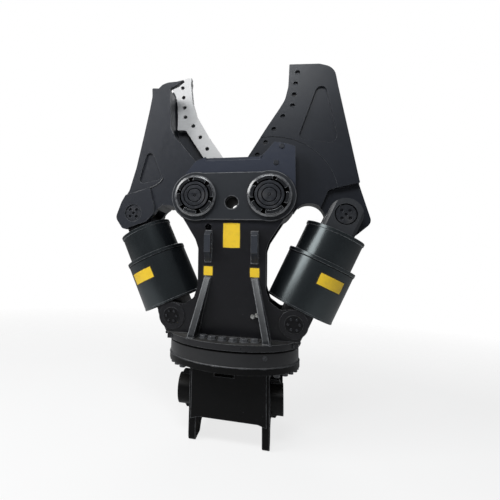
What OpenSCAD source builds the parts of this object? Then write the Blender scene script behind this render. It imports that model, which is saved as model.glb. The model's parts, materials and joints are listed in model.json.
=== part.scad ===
/* [Frame] */
// Distance from the stick pin to the slew axis, towards the rear
slew_y = 65; // [50:1:90]
// Height of the slew ring's top edge above the stick pin
ring_top_z = 150; // [140:1:180]

/* [Carrier head] */
// Diameter of the two carrier pins
carrier_pin_d = 55; // [45:1:60]
// Distance between the stick pin and the link pin
carrier_pin_pitch = 250; // [240:1:280]
// Width over the outer faces of the two ears
ears_w = 238; // [210:1:260]
// Thickness of one ear plate
ear_t = 22; // [16:1:30]
// Depth of the ear plates below the stick pin
ear_drop = 133; // [110:1:150]
// How far each pin boss stands out from its ear
boss_reach = 39; // [25:1:45]
// Outer radius of a pin boss
boss_r = 46; // [40:1:50]
// Thickness of the base plate under the slew ring
base_t = 18; // [14:1:24]
// Thickness of the two cross plates between the ears
cross_t = 15; // [10:1:20]

/* [Slew ring] */
// Outer radius of the slew ring
ring_r = 205; // [195:1:225]
// Height of the outer ring
ring_h = 43; // [38:1:50]
// Distance from the ring's outer edge to the ball race
race_inset = 22; // [20:1:25]
// Diameter of a ball
ball_d = 16; // [10:1:18]
// Number of balls
ball_n = 36; // [24:1:48]
// Teeth inside the inner ring
ring_teeth = 46; // [40:1:47]
// Teeth of the pinion
pinion_teeth = 13; // [12:1:15]
// Thickness of the housing flange on the ring
flange_t = 18; // [14:1:24]

/* [Housing] */
// Distance between the inner faces of the two side frames
housing_gap = 144; // [138:1:170]
// Thickness of the front and the rear plate
plate_t = 22; // [16:1:28]
// Thickness of the dog-bone doublers
doubler_t = 12; // [8:1:16]
// Distance between the two jaw pivots
pivot_pitch = 236; // [230:1:250]
// Height of the jaw pivots above the slew ring
pivot_z = 464; // [450:1:490]
// Half width of the housing waist
waist_w = 107; // [100:1:112]
// Height of the housing's top edge above the slew ring
housing_top = 597.5; // [580:0.5:620]
// Sideways place of the lower cylinder pins
lower_pin_x = 188; // [184:1:194]
// Height of the lower cylinder pins above the slew ring
lower_pin_z = 74; // [72:1:84]

/* [Jaws] */
// Height of the jaw tips above the pivots
jaw_reach = 462; // [440:1:480]
// Radius of the jaw hubs
hub_r = 83; // [78:1:86]
// Thickness of each cheek plate of the left jaw
cheek_t = 21; // [16:1:24]
// Distance from the jaw pivots to the upper cylinder pins, sideways
lever_x = 227; // [220:1:232]
// Drop of the upper cylinder pins below the jaw pivots
lever_drop = 53; // [48:1:58]
// Thickness of the left blade
left_blade_t = 25.5; // [20:0.5:26]
// Thickness of the right blade
right_blade_t = 23; // [18:0.5:24]
// Gap between the two blades as they pass
blade_gap = 0.5; // [0.2:0.1:1]
// Thickness of the right jaw's lever end
lever_t = 50; // [40:1:52]

/* [Pins] */
// Diameter of the two main pins
main_pin_d = 90; // [80:1:96]
// Outer diameter of the main pins' lock nuts
nut_d = 122; // [114:1:130]
// Thickness of a lock nut
nut_t = 13; // [8:1:18]
// Diameter of the lower cylinder pins
lower_pin_d = 54; // [44:1:60]
// Diameter of the upper cylinder pins
upper_pin_d = 60; // [50:1:64]
// Radial running clearance of the pins
run_gap = 0.05; // [0.02:0.01:0.1]
// Radial clearance of the rod ends on the upper pins
rod_eye_gap = 3.1; // [3:0.1:3.5]

/* [Cylinders] */
// Bore of the cylinders
bore_d = 100; // [90:1:104]
// Outer diameter of the barrels
barrel_d = 124; // [118:1:130]
// Diameter of the rods
rod_d = 70; // [56:1:76]
// Outer radius of the guard on the barrel
guard_r = 104; // [102:1:106]
// Wall of the guards
guard_wall = 6; // [4:1:7]
// Outer radius of the guard on the rod end
cap_r = 91; // [86:1:93]
// Distance from the lower pin to the barrel guard's lower edge
guard_start = 55; // [54:1:58]
// Length of the barrel guard
guard_len = 160; // [150:1:165]
// Gap under the rod guard, to the floor of the barrel guard
cap_gap = 22.2; // [18:0.1:26]
// Distance from the upper pin to the rod guard's top
cap_drop = 57.5; // [55:0.5:60]

/* [Hidden] */
$fn = 64;

// Overrun of a cut past a face
over = 1;
// Gap between a fixed and a moving face that run past each other
face_gap = 0.3;
// Clearance of a screw in its hole
screw_gap = 0.3;

// Places of the pins, as x and z from the slew axis and the ring's top edge
pivot_x = pivot_pitch / 2;
upper_pin_x = pivot_x + lever_x;
upper_pin_z = pivot_z - lever_drop;
cyl_dx = upper_pin_x - lower_pin_x;
cyl_dz = upper_pin_z - lower_pin_z;
cyl_tilt = atan2(cyl_dx, cyl_dz);
cyl_len = norm([cyl_dx, cyl_dz]);

// Planes of the housing and the jaws, as distances from the middle
frame_in = housing_gap / 2;
frame_out = frame_in + plate_t;
doubler_out = frame_out + doubler_t;
washer_t = 4;
jaw_half = frame_in - washer_t;
core_half = jaw_half - cheek_t;
shear_y = core_half - left_blade_t;
right_blade_front = shear_y - blade_gap - right_blade_t;
right_face_gap = 3;
right_face = core_half - right_face_gap;

// Radii of the pins and their bushes
main_pin_r = main_pin_d / 2;
lower_pin_r = lower_pin_d / 2;
upper_pin_r = upper_pin_d / 2;
carrier_pin_r = carrier_pin_d / 2;
bush_wall = 7;

// Levels of the slew ring and the bracket, from the ring's top edge
stick_z = -ring_top_z;
base_top = -ring_h;
base_low = base_top - base_t;
inner_ring_up = 3;
flange_low = inner_ring_up;
flange_top = flange_low + flange_t;

// Gear radii
race_r = ring_r - race_inset;
pitch_share = 0.7541;
pitch_r = race_r * pitch_share;
gear_m = 2 * pitch_r / ring_teeth;
pinion_r = gear_m * pinion_teeth / 2;
pinion_y = pitch_r - pinion_r;
pressure = 20;
ring_tip_r = pitch_r - 0.6 * gear_m;
ring_root_r = pitch_r + 1.15 * gear_m;
pinion_tip_r = pinion_r + 0.85 * gear_m;
pinion_root_r = pinion_r - 1.05 * gear_m;
backlash = 0.2;

// A rounded outline: each point is [x, z, corner radius]
function unit2(v) = v / norm(v);
function corner(a, b, c, n = 7) =
  let (p = [b[0], b[1]], u = unit2([a[0], a[1]] - p), v = unit2([c[0], c[1]] - p),
       turn = acos(max(-1, min(1, u * v))))
  b[2] == 0 || turn > 179 ? [p] :
  let (mid = p + unit2(u + v) * b[2] / sin(turn / 2), t = b[2] / tan(turn / 2),
       from = p + u * t - mid, to = p + v * t - mid,
       a0 = atan2(from[1], from[0]), raw = atan2(to[1], to[0]) - a0,
       sweep = raw > 180 ? raw - 360 : raw < -180 ? raw + 360 : raw)
  [for (i = [0:n]) mid + b[2] * [cos(a0 + sweep * i / n), sin(a0 + sweep * i / n)]];
function rounded(pts) = let (n = len(pts))
  [for (i = [0:n - 1]) each corner(pts[(i + n - 1) % n], pts[i], pts[(i + 1) % n])];
function scaled(shares, size) = [for (s = shares) s * size];

// Outlines of the jaws as shares of the reach, each [x, z, corner radius], from the pivot outwards
left_front_shares = [[0.136, 0.928, 0], [0.19, 0.919, 0.04], [0.262, 0.918, 0.1], [0.306, 0.902, 0.04],
  [0.333, 0.875, 0], [0.387, 0.881, 0.008], [0.383, 0.812, 0.1], [0.398, 0.714, 0.2],
  [0.439, 0.491, 0.5], [0.489, 0.238, 0.3], [0.537, 0.063, 0.1], [0.589, -0.028, 0.1],
  [0.632, -0.152, 0.055], [0.567, -0.242, 0.03], [0.351, -0.167, 0.08], [0.232, -0.154, 0],
  [0.147, -0.102, 0], [0, 0, 0], [-0.128, 0.126, 0], [0.022, 0.275, 0.05], [0.19, 0.476, 0.05],
  [0.223, 0.541, 0.05], [0.238, 0.81, 0.1], [0.242, 0.87, 0.02], [0.184, 0.892, 0.06]];
left_core_top_share = 0.862;
left_rear_shares = [[0.119, 1.013, 0], [0.165, 1.01, 0], [0.277, 0.948, 0.03], [0.333, 0.881, 0.02],
  [0.387, 0.881, 0.008], [0.383, 0.812, 0.1], [0.398, 0.714, 0.2], [0.439, 0.491, 0.5],
  [0.489, 0.238, 0.3], [0.537, 0.063, 0.1], [0.589, -0.028, 0.1], [0.632, -0.152, 0.055],
  [0.567, -0.242, 0.03], [0.351, -0.167, 0.08], [0.232, -0.154, 0], [0.147, -0.102, 0], [0, 0, 0],
  [-0.179, 0, 0], [-0.19, 0.27, 0.05], [-0.132, 0.372, 0.05], [-0.037, 0.515, 0.05],
  [0.071, 0.706, 0.1], [0.102, 0.805, 0.1], [0.115, 0.896, 0.1], [0.123, 0.97, 0]];
left_blade_shares = [[0.113, 1.03, 0], [0.165, 1.026, 0], [0.212, 0.978, 0.03], [0.277, 0.948, 0.006],
  [0.242, 0.883, 0.03], [0.227, 0.807, 0.1], [0.219, 0.708, 0.1], [0.219, 0.589, 0.006],
  [0.16, 0.587, 0.012], [0.145, 0.578, 0.02], [-0.004, 0.346, 0.1], [-0.06, 0.26, 0],
  [-0.19, 0.286, 0], [-0.139, 0.372, 0], [-0.043, 0.515, 0.1], [0.065, 0.706, 0.12],
  [0.095, 0.805, 0.2], [0.108, 0.896, 0.2], [0.117, 0.97, 0.1]];
left_screw_shares = [[0.186, 0.95], [0.175, 0.866], [0.165, 0.779], [0.156, 0.697], [0.089, 0.619],
  [0.03, 0.522], [-0.028, 0.424], [-0.087, 0.335]];
left_pocket_shares = [[0.388, 0.416, 0.03], [0.47, 0.108, 0.03], [0.273, 0.148, 0.03]];
cheek_patch_shares = [[0.5, 0.042, 0], [0.465, 0.045, 0.03], [0.37, 0.085, 0.01], [0.33, -0.06, 0.05],
  [0.325, -0.2, 0], [0.7, -0.3, 0], [0.7, -0.02, 0]];
right_shares = [[0.139, 1, 0.004], [0.345, 0.985, 0.06], [0.446, 0.95, 0.1], [0.468, 0.805, 0.3],
  [0.517, 0.519, 0.5], [0.591, 0.097, 0.4], [0.621, -0.013, 0.2], [0.662, -0.162, 0.055],
  [0.556, -0.255, 0.02], [0.351, -0.167, 0.08], [0.264, -0.141, 0], [0.152, -0.097, 0], [0, 0, 0],
  [-0.179, 0, 0], [-0.186, 0.27, 0.05], [-0.154, 0.316, 0], [-0.022, 0.528, 0.1], [0.069, 0.667, 0.1],
  [0.106, 0.729, 0.15], [0.13, 0.827, 0.2], [0.136, 0.942, 0]];
right_blade_shares = [[0.139, 0.985, 0.004], [0.245, 0.98, 0.01], [0.24, 0.8, 0.2], [0.2, 0.67, 0.2],
  [0.1, 0.51, 0.2], [-0.045, 0.27, 0], [-0.165, 0.3, 0], [-0.022, 0.528, 0.1], [0.069, 0.667, 0.1],
  [0.106, 0.729, 0.15], [0.13, 0.827, 0.2], [0.136, 0.942, 0]];
right_screw_shares = [[0.195, 0.931], [0.182, 0.846], [0.171, 0.764], [0.158, 0.68], [0.091, 0.604],
  [0.028, 0.511], [-0.03, 0.416], [-0.089, 0.325]];
right_pocket_shares = [[0.366, 0.921, 0.038], [0.465, 0.385, 0.05], [0.19, 0.43, 0.04]];
right_spine_shares = [[0.33, 1, 0], [0.6, 1, 0], [0.7, 0.1, 0], [0.508, 0.076, 0.05],
  [0.433, 0.498, 0.3], [0.385, 0.79, 0.1], [0.325, 0.9, 0.05]];
lever_zone_shares = [[0.397, 0.264], [1.466, 0.508], [1.466, -0.712], [0.397, -0.712]];
lever_cut_shares = [[0.688, -0.125, 0.063], [0.793, 0.123, 0.084], [1.506, 0.293, 0],
  [1.506, -0.712, 0], [0.407, -0.712, 0], [0.508, -0.264, 0]];
left_arch_share = [0.232, -0.154, 0.102];
right_arch_share = [0.264, -0.141, 0.107];
recess_share = 0.457;

// Small sizes of the jaws
blade_screw_r = 7;
blade_screw_sink = 8;
pocket_deep = 8;
recess_deep = 2;
patch_t = 10;
spine_t = 32;
screw_short = 2;
screw_sink_over = 1;
nut_r_share = 1.7;
nut_h_share = 1.1;
nut_room = 1.5;
// Turn of a cylinder against its jaw between rest and the closed jaws
head_turn = 22.6;
head_gap = 1.4;

module at_slew() translate([0, slew_y, ring_top_z]) children();
module both() for (side = [0, 1]) mirror([side, 0, 0]) children();
module mirror_if(yes) {
  if (yes) mirror([1, 0, 0]) children();
  else children();
}
// An outline in x and z, drawn out from y0 to y1
module slab(y0, y1) translate([0, y1, 0]) rotate([90, 0, 0]) linear_extrude(y1 - y0) children();
module ycyl(r, y0, y1) translate([0, y1, 0]) rotate([90, 0, 0]) cylinder(r = r, h = y1 - y0);
module xcyl(r, x0, x1) translate([x0, 0, 0]) rotate([0, 90, 0]) cylinder(r = r, h = x1 - x0);
module at_pivot(side) translate([side * pivot_x, 0, pivot_z]) mirror_if(side < 0) children();
module at_upper() translate([lever_x, 0, -lever_drop]) children();
module at_lower(side) translate([side * lower_pin_x, 0, lower_pin_z]) mirror_if(side < 0) children();
// The cylinders' own frame: up along the cylinder from the lower pin
module on_cylinder(side) at_lower(side) rotate([0, cyl_tilt, 0]) children();

// Sizes of the carrier head
ear_in = ears_w / 2 - ear_t;
ear_out = ears_w / 2;
ear_front = 55;
ear_rear = 45;
ear_corner = 42;
ear_toe = 12;
head_low = stick_z - ear_drop;
link_y = carrier_pin_pitch;
swivel_r = 45;
swivel_hole_r = swivel_r + face_gap * 3;
swivel_hang = 40;
swivel_up = 50;
swivel_foot = 12;
swivel_port_r = 9;
swivel_port_deep = 14;
swivel_port_drop = 26;
window_w = 58;
window_h = 26;
window_aside = 12;
lap_lip = 8;
motor_r = 41;
motor_h = 62;
motor_flange_t = 12;
motor_ear = 14;
motor_neck = 4;
motor_screw_r = 6;
motor_screw_in = 11;
motor_gap = 2;
base_lip = 2.5;
base_bolt_r = 6;
base_bolt_inset = 9;
base_bolt_ring_r = ring_r - base_bolt_inset;
base_bolt_n = 36;
base_bolt_head_r = 10;
bolt_head_h = 9;
base_bolt_depth = 12;
foot_w = 78;
foot_arch_h = 26;

module base_bolt_places() for (i = [0:base_bolt_n - 1]) {
  a = (i + 0.5) * 360 / base_bolt_n;
  x = base_bolt_ring_r * cos(a);
  clear_of_ears = abs(abs(x) - (ear_in + ear_out) / 2) > ear_t / 2 + base_bolt_head_r + over;
  ahead = a > 180 && abs(x) < ear_in;
  if (clear_of_ears && !ahead)
    rotate([0, 0, a]) translate([base_bolt_ring_r, 0, 0]) children();
}
module hex_bolt(r, head_r, head_h, length) {
  cylinder(r = r, h = length);
  translate([0, 0, -head_h]) cylinder(r = head_r, h = head_h, $fn = 6);
}

module bracket_base_plate() color("#2b2c2e") at_slew() difference() {
  translate([0, 0, base_low]) cylinder(r = ring_r + base_lip, h = base_t, $fn = 96);
  translate([0, 0, base_low - over]) cylinder(r = swivel_hole_r, h = base_t + 2 * over);
  translate([0, pinion_y, base_low - over]) cylinder(r = pinion_tip_r + over, h = base_t + 2 * over);
  base_bolt_places() translate([0, 0, base_low - over])
    cylinder(r = base_bolt_r + screw_gap, h = base_t + 2 * over);
}
module ear_outline() {
  top = base_low - stick_z;
  low = -ear_drop;
  polygon(rounded([[-ear_front, top, 0], [-ear_front, low, ear_toe], [foot_w - ear_front, low, 0],
    [foot_w - ear_front + foot_arch_h, low + foot_arch_h, foot_arch_h],
    [link_y + ear_rear - foot_w - foot_arch_h, low + foot_arch_h, foot_arch_h],
    [link_y + ear_rear - foot_w, low, 0],
    [link_y + ear_rear, low, ear_corner], [link_y + ear_rear, top - 3 * ear_t, ear_corner],
    [slew_y + ring_r - ear_corner, top, 0]]));
}
// An outline in y and z, drawn out from x0 to x1
module side_slab(x0, x1) translate([x0, 0, 0]) rotate([90, 0, 90]) linear_extrude(x1 - x0) children();
module carrier_bores(x0, x1, r) for (y = [0, link_y]) translate([0, y, 0]) xcyl(r, x0, x1);
module ear() difference() {
  side_slab(ear_in, ear_out) ear_outline();
  carrier_bores(ear_in - over, ear_out + over, carrier_pin_r + bush_wall);
}
module bracket_ear_left() color("#2b2c2e") mirror([1, 0, 0]) ear();
module bracket_ear_right() color("#2b2c2e") ear();
module bracket_front_plate() color("#2b2c2e") slab(-ear_front - cross_t, -ear_front) difference() {
  top = base_low - stick_z;
  polygon([[lap_lip - ear_out, top], [ear_out - lap_lip, top], [ear_out - lap_lip, -ear_drop / 2],
    [ear_in - ear_t / 2, -ear_drop / 2 + cross_t / 2], [-ear_in + ear_t / 2, -ear_drop / 2 + cross_t / 2],
    [lap_lip - ear_out, -ear_drop / 2]]);
  translate([-window_aside, top]) square([window_w, 2 * window_h], center = true);
}
module bracket_rear_plate() color("#2b2c2e") slab(link_y + ear_rear - cross_t, link_y + ear_rear)
  translate([-ear_in, -ear_drop / 2])
  square([ear_in * 2, base_low - stick_z - 3 * ear_t + ear_drop / 2]);
module pin_bosses() color("#2b2c2e") both() difference() {
  union() {
    carrier_bores(ear_out, ear_out + boss_reach, boss_r);
    for (y = [0, link_y]) translate([0, y, 0]) slab(-ear_t / 2, ear_t / 2)
      polygon([[ear_out, boss_r + ear_t / 2], [ear_out + boss_reach * 0.7, boss_r + ear_t / 2],
        [ear_out + boss_reach, boss_r * 0.6], [ear_out + boss_reach, -boss_r * 0.3],
        [ear_out + boss_reach * 0.4, -boss_r - bush_wall], [ear_out, -boss_r - bush_wall]]);
  }
  carrier_bores(ear_out - over, ear_out + boss_reach + over, carrier_pin_r + bush_wall);
}
module pin_bushes() color("#8d7442") both() difference() {
  carrier_bores(ear_in, ear_out + boss_reach, carrier_pin_r + bush_wall);
  carrier_bores(ear_in - over, ear_out + boss_reach + over, carrier_pin_r);
}
module base_ring_bolts() color("#3a3b3d") at_slew() base_bolt_places()
  translate([0, 0, base_low]) hex_bolt(base_bolt_r, base_bolt_head_r, bolt_head_h,
    base_t + base_bolt_depth);

// Sizes of the race, shared by both rings
race_gap = 2;
groove_r = ball_d / 2 + face_gap;
race_z = -ring_h / 2;
inner_ring_low = base_top + inner_ring_up;
flange_bolt_r = 7.5;
flange_bolt_land = 4;
flange_bolt_ring_r = race_r - groove_r - flange_bolt_r - screw_gap - flange_bolt_land;
flange_bolt_head_r = 13;
flange_bolt_depth = 22;

module race_groove() translate([0, 0, race_z]) rotate_extrude($fn = 96)
  translate([race_r, 0]) circle(r = groove_r, $fn = 32);
module slew_outer_ring() color("#303133") at_slew() difference() {
  translate([0, 0, base_top]) cylinder(r = ring_r, h = ring_h, $fn = 96);
  translate([0, 0, base_top - over]) cylinder(r = race_r + race_gap / 2, h = ring_h + 2 * over, $fn = 96);
  race_groove();
  base_bolt_places() translate([0, 0, base_top - over])
    cylinder(r = base_bolt_r + screw_gap, h = base_bolt_depth + 2 * over);
}
module slew_balls() color("#c9cbce") at_slew() for (i = [0:ball_n - 1])
  rotate([0, 0, i * 360 / ball_n]) translate([race_r, 0, race_z]) sphere(r = ball_d / 2, $fn = 24);

// Half width of a tooth, as an angle, at radius r
function inv(a) = tan(a) * 180 / PI - a;
function tooth_half(teeth, r, extra) = let (rp = gear_m * teeth / 2, rb = rp * cos(pressure))
  90 / teeth + extra / rp * 180 / PI + inv(pressure) - (r > rb ? inv(acos(rb / r)) : 0);
module gear_outline(teeth, low_r, high_r, extra, steps = 5) polygon([for (k = [0:teeth - 1])
  each concat(
    [for (i = [0:steps]) let (r = low_r + (high_r - low_r) * i / steps,
      a = k * 360 / teeth - tooth_half(teeth, r, extra)) r * [cos(a), sin(a)]],
    [for (i = [steps:-1:0]) let (r = low_r + (high_r - low_r) * i / steps,
      a = k * 360 / teeth + tooth_half(teeth, r, extra)) r * [cos(a), sin(a)]])]);
module flange_bolt_places() for (i = [0:31]) {
  a = (i + 0.5) * 360 / 32;
  x = flange_bolt_ring_r * cos(a);
  y = abs(flange_bolt_ring_r * sin(a));
  by_plate = y > frame_in - flange_bolt_head_r - over && y < frame_out + flange_bolt_head_r + over;
  by_rib = y > frame_out && abs(abs(x) - rib_foot_x) < rib_t / 2 + flange_bolt_head_r + 2 * over;
  if (!by_plate && !by_rib) rotate([0, 0, a]) translate([flange_bolt_ring_r, 0, 0]) children();
}
module slew_inner_ring() color("#7b7d80") at_slew() difference() {
  translate([0, 0, inner_ring_low]) linear_extrude(inner_ring_up - inner_ring_low) difference() {
    circle(r = race_r - race_gap / 2, $fn = 96);
    rotate(90) gear_outline(ring_teeth, ring_tip_r, ring_root_r, backlash);
  }
  race_groove();
  flange_bolt_places() translate([0, 0, inner_ring_up - flange_bolt_depth - over])
    cylinder(r = flange_bolt_r + screw_gap, h = flange_bolt_depth + 2 * over);
}
pinion_shaft_r = 18;
pinion_lift = 2;
pinion_face = -inner_ring_low - 2 * ear_t / 3;
module slew_pinion() color("#8b8d90") at_slew() translate([0, pinion_y, 0]) {
  translate([0, 0, inner_ring_low + pinion_lift]) linear_extrude(pinion_face) rotate(90)
    gear_outline(pinion_teeth, pinion_root_r, pinion_tip_r, -backlash);
  translate([0, 0, base_low - motor_flange_t]) cylinder(r = pinion_shaft_r,
    h = motor_flange_t + inner_ring_low + pinion_lift - base_low);
}
module swing_motor() color("#3a3b3d") at_slew() translate([0, pinion_y, base_low]) difference() {
  union() {
    intersection() {
      translate([0, 0, -motor_flange_t]) cylinder(r = motor_r + motor_ear, h = motor_flange_t);
      translate([-motor_r - motor_ear, -motor_r, -motor_flange_t])
        cube([2 * (motor_r + motor_ear), 2 * motor_r, motor_flange_t]);
    }
    translate([0, 0, -motor_h]) cylinder(r = motor_r - motor_neck, h = motor_h - motor_flange_t);
    for (a = [45:90:315]) rotate([0, 0, a])
      translate([motor_r - motor_screw_in, 0, -motor_h - motor_screw_r])
      cylinder(r = motor_screw_r, h = motor_screw_r, $fn = 6);
  }
  translate([0, 0, -motor_h / 2]) cylinder(r = pinion_shaft_r + run_gap, h = motor_h);
}
module swivel_body() color("#5e6063") at_slew() difference() {
  union() {
    translate([0, 0, base_low - swivel_hang])
      cylinder(r = swivel_r, h = flange_top + swivel_up - base_low + swivel_hang);
    translate([0, 0, base_low - motor_flange_t])
      cylinder(r = swivel_r + swivel_foot, h = motor_flange_t);
  }
  for (a = [-60, 0, 60]) rotate([0, 0, a - 90]) translate([0, 0, base_low - swivel_port_drop])
    xcyl(swivel_port_r, swivel_r - swivel_port_deep, swivel_r + over);
  translate([0, pinion_y, base_low - motor_h]) cylinder(r = motor_r + motor_gap, h = motor_h + over);
}

// Sizes of the housing
lug_r = 51;
boss_ring_r = 42;
boss_ring_t = 5;
centre_hole_z = 443;
centre_hole_r = 21;
small_hole_x = -75;
small_hole_z = 363;
small_hole_r = 11;
doubler_r = 81;
rib_t = 20;
rib_top_x = 73;
rib_foot_x = 111;
rib_top_z = 205;
rib_reach = 78;
rib_head = 8;
ear_guard_r = 178;
ear_left_x = 72;
ear_top_x = 135;
ear_foot_drop = 26;
ear_past_pivot = 79;
ear_right_x = pivot_x + ear_past_pivot;
lug_x = 73;
lug_top_z = 350;
lug_low_z = 250;
lug_t = 20;
lug_reach = 34;
side_t = 16;
side_top = 326;
side_inset = 3;
access_up = 60;
access_r = 28;
web_hole_r = 35;
tube_wall = 8;
bevel_inset = 30;
doubler_waist = 3;
flange_corner_x = 201;
flange_over = 5;
frame_foot_x = 204;
lug_top_reach = 12;
lug_top_drop = 14;
lug_foot_rise = 32;
lug_eye_up = 12;
lug_eye_r = 9;

module flange_outline() union() {
  circle(r = ring_r + flange_over, $fn = 96);
  square([2 * flange_corner_x, 2 * frame_out], center = true);
}
module slew_flange() color("#2b2c2e") at_slew() difference() {
  translate([0, 0, flange_low]) linear_extrude(flange_t) flange_outline();
  translate([0, 0, flange_low - over]) cylinder(r = swivel_r + swivel_foot, h = flange_t + 2 * over);
  flange_bolt_places() translate([0, 0, flange_low - over])
    cylinder(r = flange_bolt_r + screw_gap, h = flange_t + 2 * over);
}
module flange_bolts() color("#3a3b3d") at_slew() flange_bolt_places()
  translate([0, 0, flange_top]) mirror([0, 0, 1]) hex_bolt(flange_bolt_r, flange_bolt_head_r,
    bolt_head_h, flange_t + flange_bolt_depth - inner_ring_up);

// Outline of the frame plates, as shares of the lug, the waist and the doubler they follow
lower_lug_shares = [[1.08, 0.43, 0.59], [0.47, 1, 0.59], [-0.71, 0.73, 0.39]];
waist_low_shares = [[0.103, 0.57, 0.17], [-0.01, 0.944, 0.19]];
waist_top_shares = [[0, -1.6, 0.28], [0.093, -1.327, 0.28]];
shoulder_shares = [[0.58, -0.815, 0], [0.864, -0.494, 0.247], [1, 0, 0.37], [0.926, 0.333, 0.247]];
crown_shares = [[0.074, -0.16, 0.37], [-0.296, 0, 0.123]];
function about(x, z, size, shares) = [for (s = shares) [x + s[0] * size, z + s[1] * size, s[2] * size]];
// Half of the outline, from the flange up the right side
function frame_side() = concat([[frame_foot_x, flange_top, 0]],
  about(lower_pin_x, lower_pin_z, lug_r, lower_lug_shares),
  about(waist_w, lower_pin_z, waist_w, waist_low_shares),
  about(waist_w, pivot_z, waist_w, waist_top_shares),
  about(pivot_x, pivot_z, doubler_r, shoulder_shares),
  about(pivot_x, housing_top, doubler_r, crown_shares));
function mirrored(pts) = [for (i = [len(pts) - 1:-1:0]) [-pts[i][0], pts[i][1], pts[i][2]]];
module frame_outline() difference() {
  union() {
    polygon(rounded(concat(frame_side(), mirrored(frame_side()))));
    intersection() {
      translate([pivot_x, pivot_z]) circle(r = ear_guard_r, $fn = 96);
      polygon([[ear_left_x, housing_top - ear_foot_drop], [ear_top_x, pivot_z + ear_guard_r + over],
        [ear_right_x, pivot_z + ear_guard_r + over], [ear_right_x, pivot_z], [ear_left_x, pivot_z]]);
    }
  }
  for (x = [-pivot_x, pivot_x]) translate([x, pivot_z]) circle(r = main_pin_r);
  for (x = [-lower_pin_x, lower_pin_x]) translate([x, lower_pin_z]) circle(r = lower_pin_r);
  translate([0, centre_hole_z]) circle(r = centre_hole_r);
  translate([small_hole_x, small_hole_z]) circle(r = small_hole_r);
  guide_places() circle(r = guide_screw_r + screw_gap);
}
guide_screw_r = 6;
guide_pad_r = 24;
guide_pad_out = 29;
guide_pad_up = 136;
guide_pad_at = [pivot_x + guide_pad_out, pivot_z + guide_pad_up];
guide_step_share = [0.375, 1.125];
guide_head_over = 2;
guide_head_h = 3;
module guide_places() for (s = [-1, 1]) 
  translate(guide_pad_at + s * guide_pad_r * guide_step_share) children();
module frame_plate() {
  slab(-frame_out, -frame_in) frame_outline();
  both() at_lower(1) difference() {
    ycyl(boss_ring_r, -frame_out - boss_ring_t, -frame_out);
    ycyl(lower_pin_r, -frame_out - boss_ring_t - over, -frame_out + over);
  }
}
module top_bevel() translate([0, -frame_out, housing_top]) rotate([45, 0, 0])
  cube([2 * (pivot_x - bevel_inset), plate_t * 0.8, plate_t * 0.8], center = true);
module housing_front_plate() color("#2b2c2e") at_slew() difference() {
  frame_plate();
  top_bevel();
}
module housing_rear_plate() color("#2b2c2e") at_slew() rotate([0, 0, 180]) difference() {
  frame_plate();
  top_bevel();
}
module doubler() difference() {
  slab(-doubler_out, -frame_out) union() {
    for (x = [-pivot_x, pivot_x]) translate([x, pivot_z]) circle(r = doubler_r);
    translate([0, pivot_z]) square([pivot_pitch, 2 * (doubler_r - doubler_waist)], center = true);
  }
  for (side = [-1, 1]) at_pivot(side) ycyl(main_pin_r, -doubler_out - over, -frame_out + over);
  translate([0, 0, centre_hole_z]) ycyl(centre_hole_r, -doubler_out - over, -frame_out + over);
}
module front_doubler() color("#303133") at_slew() doubler();
module rear_doubler() color("#303133") at_slew() rotate([0, 0, 180]) doubler();
module housing_side_plates() color("#2b2c2e") at_slew() both()
  translate([waist_w - side_inset - side_t, -frame_in, flange_top])
    difference() {
      cube([side_t, housing_gap, side_top - flange_top]);
      translate([0, frame_in, access_up]) xcyl(access_r, -over, side_t + over);
    }
module housing_cross_web() color("#2b2c2e") at_slew() difference() {
  translate([side_inset - waist_w, -frame_in, side_top])
    cube([2 * (waist_w - side_inset), housing_gap, side_t]);
  translate([0, 0, side_top - over]) cylinder(r = web_hole_r, h = side_t + 2 * over);
}
module centre_spacer_tube() color("#3a3b3d") at_slew() translate([0, 0, centre_hole_z]) difference() {
  ycyl(centre_hole_r + tube_wall, -frame_in, frame_in);
  ycyl(centre_hole_r, -frame_in - over, frame_in + over);
}
module rib() difference() {
  translate([(rib_top_x + rib_foot_x) / 2, 0, (rib_top_z + flange_top) / 2])
    rotate([0, -atan2(rib_foot_x - rib_top_x, rib_top_z - flange_top), 0])
    translate([-rib_t / 2, 0, -(rib_top_z - flange_top) / 2])
    rotate([90, 0, 90]) linear_extrude(rib_t)
    polygon([[-frame_out, -rib_t], [-frame_out - rib_reach, -rib_t], [-frame_out - rib_reach, rib_t / 2],
      [-frame_out - rib_head, rib_top_z - flange_top], [-frame_out, rib_top_z - flange_top]]);
  translate([0, -ring_r, flange_top - 2 * rib_t]) cube([ring_r, ring_r, 2 * rib_t]);
}
module gusset_ribs() color("#303133") at_slew() for (a = [0, 180]) rotate([0, 0, a]) both() rib();
module lifting_lugs() color("#303133") at_slew() for (a = [0, 180]) rotate([0, 0, a]) both()
  difference() {
    side_slab(lug_x - lug_t / 2, lug_x + lug_t / 2)
      polygon([[-frame_out, lug_low_z], [-frame_out, lug_top_z], [-frame_out - lug_top_reach, lug_top_z],
        [-frame_out - lug_reach, lug_top_z - lug_top_drop],
        [-frame_out - lug_reach, lug_low_z + lug_foot_rise]]);
    translate([0, -frame_out - lug_reach * 0.45, (lug_low_z + lug_top_z) / 2 + lug_eye_up])
      xcyl(lug_eye_r, lug_x - lug_t, lug_x + lug_t);
  }

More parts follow.
